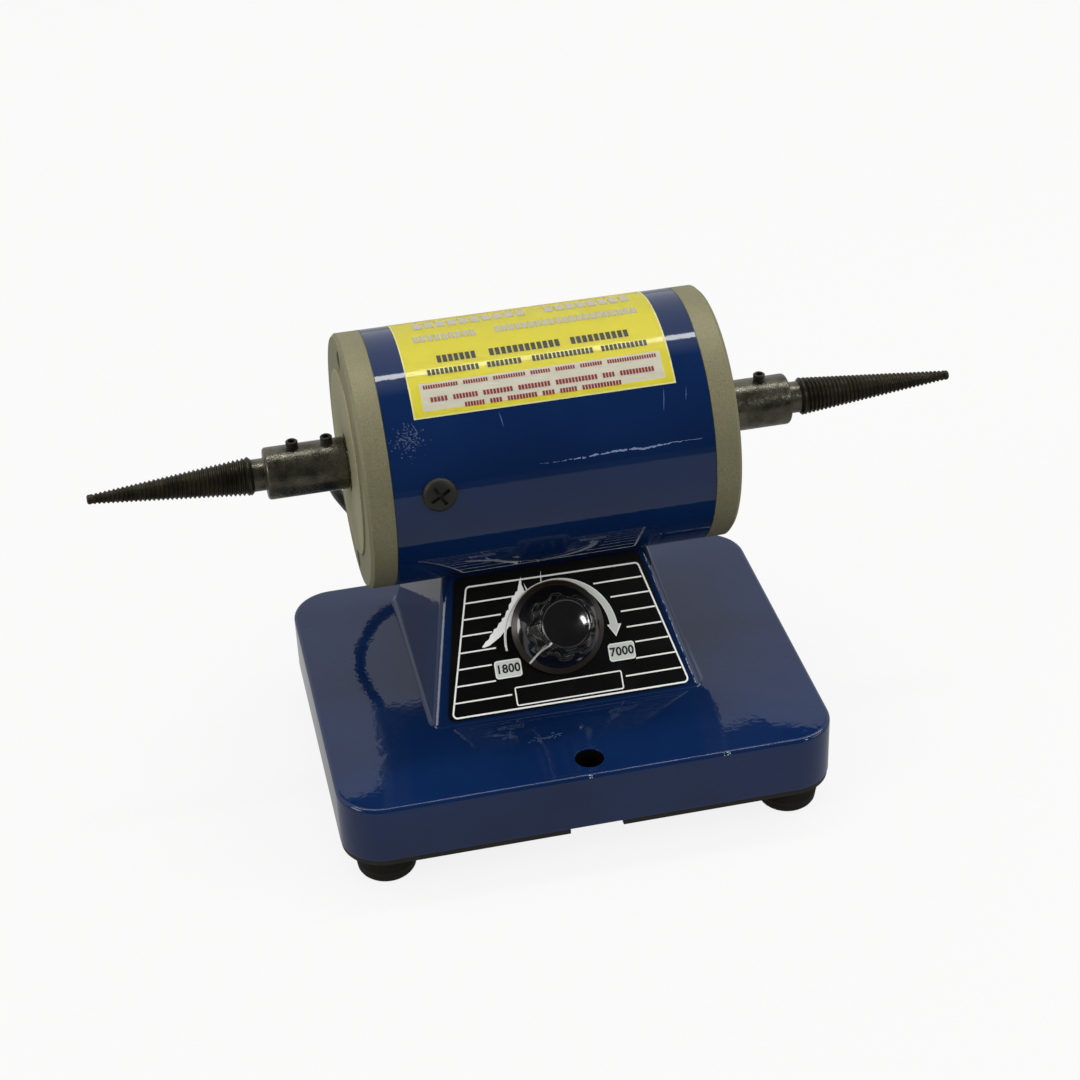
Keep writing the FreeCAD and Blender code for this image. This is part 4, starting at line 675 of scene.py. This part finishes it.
def brush_cap(end, angle):
    """A domed screw cap with a rim and a cross cut for the driver."""
    top = DRUM_RADIUS + 3.0
    place = placed(AXIS + X_AXIS * -46.9, X_AXIS, radial(angle))
    bm = bmesh.new()
    profile = [(41.5, 0), (41.5, 4.3), (41.8, 4.6), (DRUM_RADIUS, 4.6), (DRUM_RADIUS, 6.6),
               (DRUM_RADIUS + 0.2, 6.85), (DRUM_RADIUS + 1.1, 6.85), (DRUM_RADIUS + 1.5, 6.65)]
    profile += [(DRUM_RADIUS + 1.5 + 1.5 * sin(radians(a)),
                 1.2 + 5.35 * cos(radians(a))) for a in (8, 22, 36, 50, 64, 78, 90)]
    lathe(bm, profile + [(top, 0)], place, 64)
    piece = new_piece("brush_screw_cap_" + end, bm, "brush_cap", "frame",
                      ["brush_cap_" + end])
    cutter = bmesh.new()
    outline = []
    for quarter in range(4):
        turn = Matrix.Rotation(radians(30 + 90 * quarter), 2)
        outline += [turn @ Vector(corner) for corner in ((0.7, 0.7), (4.3, 0.7), (4.3, -0.7))][::-1]
    ends = [[cutter.verts.new(place @ Vector((corner.x, corner.y, level))) for corner in outline]
            for level in (top - 1.5, top + 1.5)]
    for ring in ends:
        cutter.faces.new(ring)
    for i in range(12):
        j = (i + 1) % 12
        cutter.faces.new((ends[0][i], ends[0][j], ends[1][j], ends[1][i]))
    cut_away(piece, cutter)
    return piece


def evaluated_mesh(piece):
    """A copy of a piece's mesh with its modifiers or outlines worked out."""
    bpy.context.view_layer.update()
    return bpy.data.meshes.new_from_object(
        piece.evaluated_get(bpy.context.evaluated_depsgraph_get()))


def cut_away(piece, cutter):
    """Takes a closed form out of a piece for good."""
    mesh = bpy.data.meshes.new("cutter")
    bmesh.ops.recalc_face_normals(cutter, faces=cutter.faces)
    cutter.to_mesh(mesh)
    cutter.free()
    tool = linked("cutter", mesh)
    boolean = piece.modifiers.new("cut", "BOOLEAN")
    boolean.operation = "DIFFERENCE"
    boolean.object = tool
    done = evaluated_mesh(piece)
    piece.modifiers.clear()
    piece.data = done
    bpy.data.objects.remove(tool)
    smooth(done)


FOOT_PLACES = {"front_left": (-84.7, -63.4), "front_right": (84.7, -63.4),
               "rear_left": (-84.7, 63.4), "rear_right": (84.7, 63.4)}


def rubber_foot(end, x, y):
    """A moulded foot with a rounded tread, a flash line and a screw pocket."""
    profile = [(12.9, 2.2), (12.9, 12.6), (12.6, 12.95), (12.0, 13.0), (11.6, 12.9), (11.3, 12.8),
               (6.2, 12.45), (6.0, 12.53), (5.8, 12.4), (3.2, 12.1), (2.1, 11.9), (1.2, 11.4),
               (0.5, 10.75), (0.12, 10.0), (0.0, 9.3), (0.0, 6.6), (0.5, 6.2), (0.9, 5.6),
               (1.0, 4.4), (7.9, 4.2), (7.9, 2.2)]
    bm = bmesh.new()
    lathe(bm, profile, placed(Vector((x, y, 0)), X_AXIS, Z_AXIS), 72, closed=True)
    return new_piece("rubber_foot_" + end, bm, "rubber", "frame",
                     ["foot_" + end])


# Sticker, scuffs and a painted reflection streak on the drum

STICKER_X = (-52.8, -52.3, -48.5, 48.5, 51.8, 52.3)
STICKER_ANGLES = (46.0, 46.6, 119.0, 132.0, 134.4, 135.0)


def on_drum(x, angle, height):
    return (AXIS + X_AXIS * x + radial(angle) * (DRUM_RADIUS + height)) * MM


def split_span(marks, step):
    """The marks with even steps between them."""
    values = [marks[0]]
    for low, high in zip(marks, marks[1:]):
        count = max(1, round((high - low) / step))
        values += [low + (high - low) * (i + 1) / count for i in range(count)]
    return values


def drum_label():
    """The vinyl label, with a plain panel and a pale edge."""
    xs = split_span(STICKER_X, 6.0)
    angles = split_span(STICKER_ANGLES, 2.5)
    bm = bmesh.new()
    grid = [[bm.verts.new(on_drum(x, angle, 0.12)) for x in xs] for angle in angles]
    for i in range(len(angles) - 1):
        for j in range(len(xs) - 1):
            face = bm.faces.new((grid[i][j], grid[i][j + 1], grid[i + 1][j + 1], grid[i + 1][j]))
            x = (xs[j] + xs[j + 1]) / 2
            angle = (angles[i] + angles[i + 1]) / 2
            if not (STICKER_X[1] < x < STICKER_X[4] and STICKER_ANGLES[1] < angle
                    < STICKER_ANGLES[4]):
                face.material_index = 2
            elif STICKER_X[2] < x < STICKER_X[3] and STICKER_ANGLES[2] < angle \
                    < STICKER_ANGLES[3]:
                face.material_index = 1
    bmesh.ops.solidify(bm, geom=bm.faces[:], thickness=0.10 * MM)
    return new_piece("drum_label", bm, ["label_yellow", "label_panel", "label_edge"], "frame")


LABEL_ROWS = (
    # angles of the two long edges, material, ends of each bar along the drum
    (74.0, 82.0, 0, ((-44, 3), (10, 46))),
    (89.5, 94.5, 0, ((-46, -20), (-13, 46))),
    (105.0, 109.2, 1, ((-39, -23), (-18, 11), (15, 39))),
    (112.4, 115.4, 1, ((-44, -23), (-20, -6), (-2, 23), (26, 45))),
    (120.1, 121.9, 2, ((-47, -33), (-31, -21), (-19, -6), (-4, 4), (6, 14), (16, 25), (27, 47))),
    (126.0, 128.3, 2, ((-45, -38), (-36, -26), (-24, -12), (-10, 3), (5, 22), (24, 29), (31, 45))),
    (130.2, 132.3, 2, ((-32, -24), (-22, -17), (-15, -3), (-1, 4), (6, 13), (15, 31))),
)


def label_print():
    """Rows of plain strokes across the label."""
    bm = bmesh.new()
    for low, high, material, bars in LABEL_ROWS:
        pitch = (high - low) * DRUM_RADIUS * pi / 180 * 0.62
        for start, end in bars:
            count = max(1, round((end - start) / pitch))
            for index in range(count):
                left = start + (end - start) * index / count
                right = left + (end - start) / count * 0.72
                rings = [[bm.verts.new(on_drum(x, low + (high - low) * step / 3, 0.25))
                          for step in range(4)] for x in (left, right)]
                for step in range(3):
                    face = bm.faces.new((rings[0][step], rings[1][step], rings[1][step + 1],
                                         rings[0][step + 1]))
                    face.material_index = material
    return new_piece("label_print", bm, ["ink_dim", "ink_black", "ink_red"], "frame")


CAP_FACE, CAP_RECESS, PAD_RADIUS = 75.7, 74.9, 38.4
PAD_HOLE, PAD_PROUD, PAD_EDGE = 12.0, 0.85, 0.3
CAP_START, SEAM_WIDTH, SEAM_PROUD = 65.0, 0.3, 0.03


def cap_pad(side, name):
    """The raised round pad on a cap's face, which fills the shallow recess of the CAD cap. Its
    aluminium is a lighter copy of the rim's: painted light on the face.
    """
    bm = bmesh.new()
    high = CAP_FACE + PAD_PROUD
    lathe(bm, [(CAP_RECESS, PAD_HOLE), (CAP_RECESS, PAD_RADIUS), (high - PAD_EDGE, PAD_RADIUS),
               (high, PAD_RADIUS - PAD_EDGE), (high, PAD_HOLE + 1.0), (high - 0.6, PAD_HOLE)],
          placed(AXIS, Y_AXIS, X_AXIS * side), 96, closed=True)
    return new_piece("cap_pad_" + name, bm, "cap_pad", "frame")


def cap_seam(side, name):
    """The dark joint between a cap and the drum."""
    bm = bmesh.new()
    outer = DRUM_RADIUS + SEAM_PROUD
    inner = outer - SEAM_WIDTH
    start = CAP_START - SEAM_WIDTH
    lathe(bm, [(start, inner), (start, outer), (CAP_START, outer), (CAP_START, inner)],
          placed(AXIS, Y_AXIS, X_AXIS * side), 128, closed=True)
    return new_piece("cap_seam_" + name, bm, "ink_black", "frame")


BOLT_HOLE_Y = -67.5


def bolt_hole_painted_shade():
    """A black lining in the bench bolt hole: painted shade for the hole's dark depth."""
    bm = bmesh.new()
    place = placed(Vector((0, BOLT_HOLE_Y, 0)), X_AXIS, Z_AXIS)
    lathe(bm, [(16.0, 5.96), (40.4, 5.96), (40.4, 6.2), (16.0, 6.2)], place, 48, closed=True)
    return new_piece("bolt_hole_painted_shade", bm, "hole_dark", "frame")


def ribbon(bm, points, widths, surface):
    """A ragged strip through points on a surface, given as (across, along) pairs."""
    rows = []
    for index, (point, width) in enumerate(zip(points, widths)):
        before = points[max(0, index - 1)]
        after = points[min(len(points) - 1, index + 1)]
        dx, dy = after[0] - before[0], after[1] - before[1]
        length = hypot(dx, dy) or 1.0
        nx, ny = -dy / length * width / 2, dx / length * width / 2
        rows.append([bm.verts.new(surface(point[0] + nx, point[1] + ny)),
                     bm.verts.new(surface(point[0] - nx, point[1] - ny))])
    for first, second in zip(rows, rows[1:]):
        bm.faces.new((first[0], first[1], second[1], second[0]))


def scratch(bm, start, end, wander, width, surface, rng, steps=24):
    """A scratch that wanders a little and thins out at its ends."""
    points, widths = [], []
    drift = 0.0
    for step in range(steps + 1):
        share = step / steps
        drift = 0.75 * drift + rng.uniform(-wander, wander)
        points.append((start[0] + (end[0] - start[0]) * share,
                       start[1] + (end[1] - start[1]) * share + drift))
        widths.append(width * (0.25 + sin(pi * share)) * rng.uniform(0.5, 1.2))
    ribbon(bm, points, widths, surface)


# Painted reflection: the long pale streak of a low window in the drum's coat, as (along the drum,
# degrees round) points.
PAINTED_REFLECTION_STREAK = ((-6.2, 160.9), (-1.2, 161.4), (5.3, 161.2), (12.2, 161.3), (15.5, 160.8),
                (19.6, 161.0), (23.9, 160.4), (29.0, 160.6), (33.2, 160.7), (35.4, 161.3),
                (40.2, 160.8), (47.2, 160.4), (53.8, 160.4), (60.4, 160.4))


def traced(points, step, wander, rng):
    """A line through points, with even steps and a little wander."""
    line = []
    for first, last in zip(points, points[1:]):
        count = max(1, round(dist(first, last) / step))
        for index in range(count):
            share = index / count
            line.append((first[0] + (last[0] - first[0]) * share,
                         first[1] + (last[1] - first[1]) * share + rng.uniform(-wander, wander)))
    return line + [points[-1]]


def drum_marks_and_painted_streak():
    """Thin pale scratches in the drum's paint and a painted reflection streak low on its front,
    along the drum and round it in millimetres.
    """
    rng = random.Random(4)
    arc = DRUM_RADIUS * pi / 180

    def surface(x, around):
        return on_drum(x, 180 - around / arc, 0.012)

    bm = bmesh.new()
    # The first ribbon is painted reflection, not a scratch: a window's streak, thick in the middle
    # and thin at both ends.
    line = traced([(x, (180 - angle) * arc) for x, angle in PAINTED_REFLECTION_STREAK], 0.7, 0.17, rng)
    widths = []
    for x, _ in line:
        body = min(1.0, max(0.0, (x - 1) / 12)) * min(1.0, max(0.0, (54 - x) / 16))
        widths.append((0.16 + 0.62 * body) * rng.uniform(0.35, 1.25))
    start = 0
    for index in range(1, len(line)):
        gap = rng.random() < (0.24 if line[index][0] < 14 else 0.07)
        if gap or index == len(line) - 1:
            if index - start > 1:
                ribbon(bm, line[start:index], widths[start:index], surface)
            start = index
    for start, end, wander, width in (
            ((-6, -36.5), (3.5, -35.0), 0.1, 0.16), ((3.5, -35.0), (16, -29), 0.2, 0.30),
            ((-19.5, 40), (-18.5, 33.5), 0.1, 0.12), ((-57, 36), (-53, 31), 0.2, 0.10),
            ((-60, 35), (-57, 33), 0.2, 0.12), ((-54, 40), (-52, 36), 0.2, 0.10),
            ((47, 40), (45.5, 31), 0.15, 0.12), ((56, 39), (55, 34), 0.1, 0.10),
            ((20, -41), (40, -43), 0.2, 0.10)):
        scratch(bm, start, end, wander, width, surface, rng)
    new_piece("drum_marks_and_painted_streak", bm, "scuff_pale", "frame")
    bm = bmesh.new()
    for _ in range(150):
        x, around = rng.gauss(-56, 3.4), rng.gauss(34, 3.6)
        if abs(x) < 64:
            blot(bm, x, around, rng.uniform(0.08, 0.5), rng.uniform(0.08, 0.4), surface, rng)
    return new_piece("drum_dust", bm, "scuff_faint", "frame")


def blot(bm, across, along, width, height, surface, rng):
    """A small ragged patch."""
    count = 8
    corners = []
    for index in range(count):
        angle = 2 * pi * index / count
        reach = rng.uniform(0.6, 1.15)
        corners.append(bm.verts.new(surface(across + width * reach * cos(angle),
                                            along + height * reach * sin(angle))))
    bm.faces.new(corners)


def base_scuffs():
    """A dry smudge on the deck and two chips in its front edge."""
    rng = random.Random(11)
    bm = bmesh.new()

    def deck(x, y):
        return Vector((x, y, DECK_Z + 0.012)) * MM

    for _ in range(44):
        share = rng.random()
        blot(bm, -21 + 14 * share + rng.gauss(0, 0.7), -51.8 + 3.2 * share + rng.gauss(0, 0.8),
             rng.uniform(0.15, 0.7), rng.uniform(0.1, 0.35), deck, rng)
    new_piece("deck_smudge", bm, "smudge", "frame")
    bm = bmesh.new()

    def edge(x, angle):
        reach = DECK_EDGE + 0.015
        return Vector((x, DECK_FRONT + DECK_EDGE - reach * cos(angle),
                       DECK_Z - DECK_EDGE + reach * sin(angle))) * MM

    for x, width in ((-2.4, 0.55), (-1.5, 0.3), (54.7, 0.5), (55.6, 0.3), (53.2, 0.2)):
        blot(bm, x, 0.75, width, 0.42, edge, rng)
    return new_piece("edge_chips", bm, "primer_chip", "frame")


# Print on the control plate

INK_LOW, INK_HIGH = -0.02, 0.045


def on_plate(x, s, height):
    """A point on the control plate, right and up the slope, over its face."""
    return (PANEL_FOOT + X_AXIS * x + PANEL_UP * s + PANEL_OUT * (PLATE_TOP + height)) * MM


def plate_piece(name, bm, material):
    return new_piece(name, bm, material, "frame")


def flat_shape(bm, outline, low=INK_LOW, high=INK_HIGH):
    """A thin slab over the plate from an outline of (x, s) points."""
    bottom = [bm.verts.new(on_plate(x, s, low)) for x, s in outline]
    top = [bm.verts.new(on_plate(x, s, high)) for x, s in outline]
    bm.faces.new(top)
    bm.faces.new(bottom[::-1])
    for i in range(len(outline)):
        j = (i + 1) % len(outline)
        bm.faces.new((bottom[i], bottom[j], top[j], top[i]))


def rounded_outline(corners, radius, steps=5):
    """A polygon with round corners."""
    points = []
    count = len(corners)
    for i, corner in enumerate(corners):
        corner = Vector(corner)
        into = (Vector(corners[i - 1]) - corner).normalized()
        out = (Vector(corners[(i + 1) % count]) - corner).normalized()
        half = into.angle(out) / 2
        centre = corner + (into + out).normalized() * radius / sin(half)
        first = corner + into * radius / tan(half) - centre
        last = corner + out * radius / tan(half) - centre
        sweep = atan2(first.x * last.y - first.y * last.x, first.dot(last))
        for step in range(steps + 1):
            angle = sweep * step / steps
            points.append((centre.x + first.x * cos(angle) - first.y * sin(angle),
                           centre.y + first.x * sin(angle) + first.y * cos(angle)))
    return points


def band_between(bm, outer, inner, low, high, closed=True):
    """A thin slab over the plate between two outlines with as many points."""
    loops = [[bm.verts.new(on_plate(x, s, level)) for x, s in line]
             for line, level in ((outer, low), (outer, high), (inner, high), (inner, low))]
    count = len(outer)
    for first, second in zip(loops, loops[1:] + loops[:1]):
        for i in range(count if closed else count - 1):
            j = (i + 1) % count
            bm.faces.new((first[i], first[j], second[j], second[i]))
    return loops


def frame_shape(bm, corners, radius, width):
    """A closed line of even width along a rounded outline."""
    outer = rounded_outline(corners, radius)
    inner_corners = []
    count = len(corners)
    for i in range(count):
        corner = Vector(corners[i])
        into = (Vector(corners[i - 1]) - corner).normalized()
        out = (Vector(corners[(i + 1) % count]) - corner).normalized()
        half = into.angle(out) / 2
        inner_corners.append(corner + (into + out).normalized() * width / sin(half))
    inner = rounded_outline(inner_corners, max(0.2, radius - width))
    band_between(bm, outer, inner, INK_LOW, INK_HIGH)


PLATE_OUTLINE = ((-49.5, 2.6), (51.9, 2.3), (38.3, 55.4), (-35.2, 56.1))
LINE_LEVELS = (49.1, 42.5, 35.9, 29.1, 22.5, 15.7, 9.0)
LEFT_LINES = ((-36.7, -15.6), (-38.5, -22.4), (-40.4, -27.2), (-42.5, -26.7), (-44.1, -29.5),
              (-45.7, -28.9), (-47.5, -23.1))
RIGHT_LINES = ((18.0, 38.7), (24.3, 40.8), (27.6, 42.4), (29.0, 44.0), (31.6, 45.9),
               (30.8, 47.7), (25.3, 49.1))
LINE_WIDTH = 0.62
NUMBER_BOXES = (("1800", -23.0, 19.8), ("7000", 25.3, 19.5))
BOX_WIDTH, BOX_HEIGHT = 11.2, 7.5
PLAIN_BOX = ((-21.8, 3.9), (23.8, 3.9), (23.8, 11.85), (-21.8, 11.85))
ARC_CENTRE = (1.3, 29.6)


def plate_lines():
    bm = bmesh.new()
    frame_shape(bm, PLATE_OUTLINE, 2.0, 0.7)
    frame_shape(bm, PLAIN_BOX, 0.9, 0.55)
    for level, left, right in zip(LINE_LEVELS, LEFT_LINES, RIGHT_LINES):
        for start, end in (left, right):
            half = LINE_WIDTH / 2
            flat_shape(bm, [(start, level - half), (end, level - half), (end, level + half),
                            (start, level + half)])
    return plate_piece("plate_lines", bm, "ink_white")


# A painted reflection of a lamp in the plate's gloss, as (x, s) points.
PAINTED_GLARE_PATCH = (
    (-32.4, 30.2), (-30.4, 32.3), (-28.9, 33.1), (-28.2, 34.6), (-27.0, 35.4), (-26.2, 36.8),
    (-24.9, 37.2), (-23.9, 38.9), (-22.6, 39.5), (-22.2, 40.7), (-21.0, 41.1), (-19.9, 43.5),
    (-18.9, 43.9), (-18.5, 45.8), (-17.3, 46.8), (-16.8, 48.7), (-15.9, 48.9), (-14.7, 50.8),
    (-14.0, 50.9), (-13.5, 52.7), (-12.5, 55.3), (-11.6, 56.5), (-11.9, 53.4), (-11.0, 50.1),
    (-12.5, 48.3), (-14.2, 46.0), (-16.0, 43.7), (-17.5, 41.5), (-18.5, 39.2), (-19.0, 36.9),
    (-19.9, 37.0), (-20.4, 36.2), (-21.9, 35.4), (-24.1, 33.3), (-26.7, 31.8), (-29.2, 30.4),
    (-31.5, 29.9))
# Painted glints of fine scratches in the glare: start, end, width.
PAINTED_GLINT_LINES = (((-3.1, 57.5), (-3.6, 53.5), 0.45), ((-10.9, 53.7), (-10.1, 51.0), 0.55),
              ((-22.2, 34.8), (-22.8, 29.0), 0.42))


def plate_painted_glare():
    """Painted glare beside the knob: a white patch where the plate reflects a lamp, and fine white
    glints of scratches near it.
    """
    bm = bmesh.new()
    flat_shape(bm, PAINTED_GLARE_PATCH, high=INK_HIGH + 0.01)
    for start, end, width in PAINTED_GLINT_LINES:
        half = width / 2
        flat_shape(bm, [(start[0] - 0.05, start[1]), (end[0] - half, end[1]),
                        (end[0], end[1] - 0.3), (end[0] + half, end[1]),
                        (start[0] + 0.05, start[1])], high=INK_HIGH + 0.01)
    return plate_piece("plate_painted_glare", bm, "bare_white")


def arc_outline(grow):
    """The widening arc of the speed scale, from the low number round to the high one."""
    outer, inner = [], []
    for step in range(49):
        share = step / 48
        angle = radians(186 - 183 * share)
        width = 0.25 + 2.45 * share ** 1.1
        for line, radius in ((outer, 23.9 + grow), (inner, 23.9 - width - grow)):
            line.append((ARC_CENTRE[0] + radius * cos(angle),
                         ARC_CENTRE[1] + radius * sin(angle)))
    return outer, inner


def arc_shape(bm, outline, low, high):
    loops = band_between(bm, *outline, low, high, closed=False)
    for end in (0, -1):
        bm.faces.new([loop[end] for loop in loops])


def plate_scale():
    bm = bmesh.new()
    arc_shape(bm, arc_outline(0.28), INK_LOW, INK_HIGH)
    flat_shape(bm, [(20.9, 31.3), (24.0, 26.0), (27.0, 31.0)])
    edges = plate_piece("scale_edge", bm, "ink_white")
    bm = bmesh.new()
    arc_shape(bm, arc_outline(-0.02), INK_HIGH, INK_HIGH + 0.02)
    flat_shape(bm, [(21.6, 31.0), (24.0, 26.9), (26.3, 30.8)], INK_HIGH, INK_HIGH + 0.02)
    fill = plate_piece("scale_fill", bm, "ink_grey")
    return edges, fill


def number_boxes():
    bm, rims = bmesh.new(), bmesh.new()
    for text, x, s in NUMBER_BOXES:
        corners = [(x + BOX_WIDTH / 2 * right, s + BOX_HEIGHT / 2 * up)
                   for right, up in ((-1, -1), (1, -1), (1, 1), (-1, 1))]
        flat_shape(bm, rounded_outline(corners, 1.3), high=INK_HIGH - 0.01)
        frame_shape(rims, corners, 1.3, 0.45)
        plate_number(text, x, s)
    plate_piece("number_rims", rims, "ink_white")
    return plate_piece("number_boxes", bm, "ink_grey")


def plate_number(text, x, s):
    """Bold digits as a thin mesh over their box."""
    curve = bpy.data.curves.new("number_" + text, "FONT")
    curve.body = text
    curve.align_x = "CENTER"
    curve.align_y = "CENTER"
    curve.size = 4.9
    curve.offset = 0.15
    curve.space_character = 1.06
    curve.extrude = 0.012
    holder = linked("holder", curve)
    mesh = evaluated_mesh(holder)
    bpy.data.objects.remove(holder)
    origin = PANEL_FOOT + X_AXIS * x + PANEL_UP * s + PANEL_OUT * (PLATE_TOP + INK_HIGH + 0.02)
    mesh.transform(placed(origin, X_AXIS, PANEL_OUT))
    bm = bmesh.new()
    bm.from_mesh(mesh)
    return plate_piece("number_" + text, bm, "ink_black")


# Stage

def fade(tree, place, axis, start, end, low, high):
    """A value that rises along one axis of the studio."""
    parts = tree.nodes.new("ShaderNodeSeparateXYZ")
    tree.links.new(place, parts.inputs[0])
    span = tree.nodes.new("ShaderNodeMapRange")
    for name, number in (("From Min", start), ("From Max", end), ("To Min", low),
                         ("To Max", high)):
        span.inputs[name].default_value = number
    tree.links.new(parts.outputs[axis], span.inputs["Value"])
    return span.outputs["Result"]


def pick(tree, switch, off, on):
    """One of two values, each a number or a socket."""
    node = tree.nodes.new("ShaderNodeMapRange")
    tree.links.new(switch, node.inputs["Value"])
    for name, value in (("To Min", off), ("To Max", on)):
        if isinstance(value, bpy.types.NodeSocket):
            tree.links.new(value, node.inputs[name])
        else:
            node.inputs[name].default_value = value
    return node.outputs["Result"]


FLOOR_COLOR = (0.42, 0.42, 0.41, 1)
FLOOR_GLOW = 0.86


def make_stage():
    bm = bmesh.new()
    bmesh.ops.create_grid(bm, x_segments=1, y_segments=1, size=6.0)
    mesh = bpy.data.meshes.new("floor")
    bm.to_mesh(mesh)
    bm.free()
    floor = linked("floor", mesh)
    material = bpy.data.materials.new("floor")
    material.use_nodes = True
    tree = material.node_tree
    tree.nodes.clear()
    path = tree.nodes.new("ShaderNodeLightPath")
    diffuse = tree.nodes.new("ShaderNodeBsdfDiffuse")
    diffuse.inputs["Color"].default_value = FLOOR_COLOR
    glow = tree.nodes.new("ShaderNodeEmission")
    mix = tree.nodes.new("ShaderNodeMixShader")
    out = tree.nodes.new("ShaderNodeOutputMaterial")
    seen = tree.nodes.new("ShaderNodeMath")
    seen.operation = "MAXIMUM"
    for socket, ray in zip(seen.inputs, ("Is Camera Ray", "Is Glossy Ray")):
        tree.links.new(path.outputs[ray], socket)
    tree.links.new(pick(tree, seen.outputs[0], 0.0, FLOOR_GLOW), mix.inputs[0])
    place = tree.nodes.new("ShaderNodeTexCoord").outputs["Object"]
    bench = fade(tree, place, "Y", -1.25, -1.15, 0.03, 0.45)
    tree.links.new(pick(tree, path.outputs["Is Camera Ray"], bench, 1.0), glow.inputs["Strength"])
    tree.links.new(diffuse.outputs[0], mix.inputs[1])
    tree.links.new(glow.outputs[0], mix.inputs[2])
    tree.links.new(mix.outputs[0], out.inputs["Surface"])
    mesh.materials.append(material)


WORLD_COLOR = (1.0, 1.0, 0.985, 1)
WORLD_LIGHT = (0.20, 1.50)


def make_world():
    world = bpy.data.worlds.new("studio")
    bpy.context.scene.world = world
    world.use_nodes = True
    tree = world.node_tree
    background = tree.nodes["Background"]
    background.inputs["Color"].default_value = WORLD_COLOR
    path = tree.nodes.new("ShaderNodeLightPath")
    place = tree.nodes.new("ShaderNodeTexCoord").outputs["Generated"]
    room = fade(tree, place, "Y", -0.10, 0.12, 0.03, 0.80)
    light = fade(tree, place, "Z", -0.1, 1.0, *WORLD_LIGHT)
    around = pick(tree, path.outputs["Is Glossy Ray"], light, room)
    tree.links.new(pick(tree, path.outputs["Is Camera Ray"], around, 1.0),
                   background.inputs["Strength"])


STRIP_TARGET = (0.15, 0.006, 0.1856)
STRIP_DIRECTION = (0.12, 0.24, 0.954)
STRIP_DISTANCE = 1.3
STRIP_WIDTH, STRIP_DEPTH, STRIP_POWER = 2.6, 0.12, 13.0
LIGHTS = (
    # name, place, aimed at, width, depth, power
    ("left", (-1.9, -0.6, 1.2), (0, 0, 0.1), 0.9, 0.9, 14.0),
    ("right", (1.7, -0.6, 0.9), (0, 0, 0.1), 1.0, 1.0, 6.0),
    ("window", (0.71, -0.80, 0.78), (0, -0.02, 0.1), 0.12, 0.22, 1.6),
)


def add_light(name, place, target, width, depth, power, along=None):
    light = bpy.data.lights.new(name, "AREA")
    light.shape = "RECTANGLE"
    light.size = width
    light.size_y = depth
    light.energy = power
    lamp = linked(name, light)
    back = (Vector(place) - Vector(target)).normalized()
    if along is None:
        lamp.rotation_euler = back.to_track_quat("Z", "Y").to_euler()
    else:
        x = (along - back * along.dot(back)).normalized()
        lamp.rotation_euler = Matrix((x, back.cross(x), back)).transposed().to_euler()
    lamp.location = place
    return lamp


def make_lights():
    for row in LIGHTS:
        add_light(*row)
    strip = Vector(STRIP_TARGET) + Vector(STRIP_DIRECTION).normalized() * STRIP_DISTANCE
    add_light("strip", strip, STRIP_TARGET, STRIP_WIDTH, STRIP_DEPTH, STRIP_POWER, X_AXIS)


make_camera()
make_stage()
make_world()
make_lights()
dress_nodes()
for side, name in ((-1, "left"), (1, "right")):
    threaded_spindle(side, name)
    socket_screws(side, name)
    cap_pad(side, name)
    cap_seam(side, name)
dial_knob()
knob_pointer()
brush_cap("back", -12)
brush_cap("front", 168)
for end, (x, y) in FOOT_PLACES.items():
    rubber_foot(end, x, y)
drum_label()
label_print()
drum_marks_and_painted_streak()
base_scuffs()
bolt_hole_painted_shade()
plate_painted_glare()
plate_lines()
plate_scale()
number_boxes()

bpy.context.scene.view_settings.view_transform = "Standard"
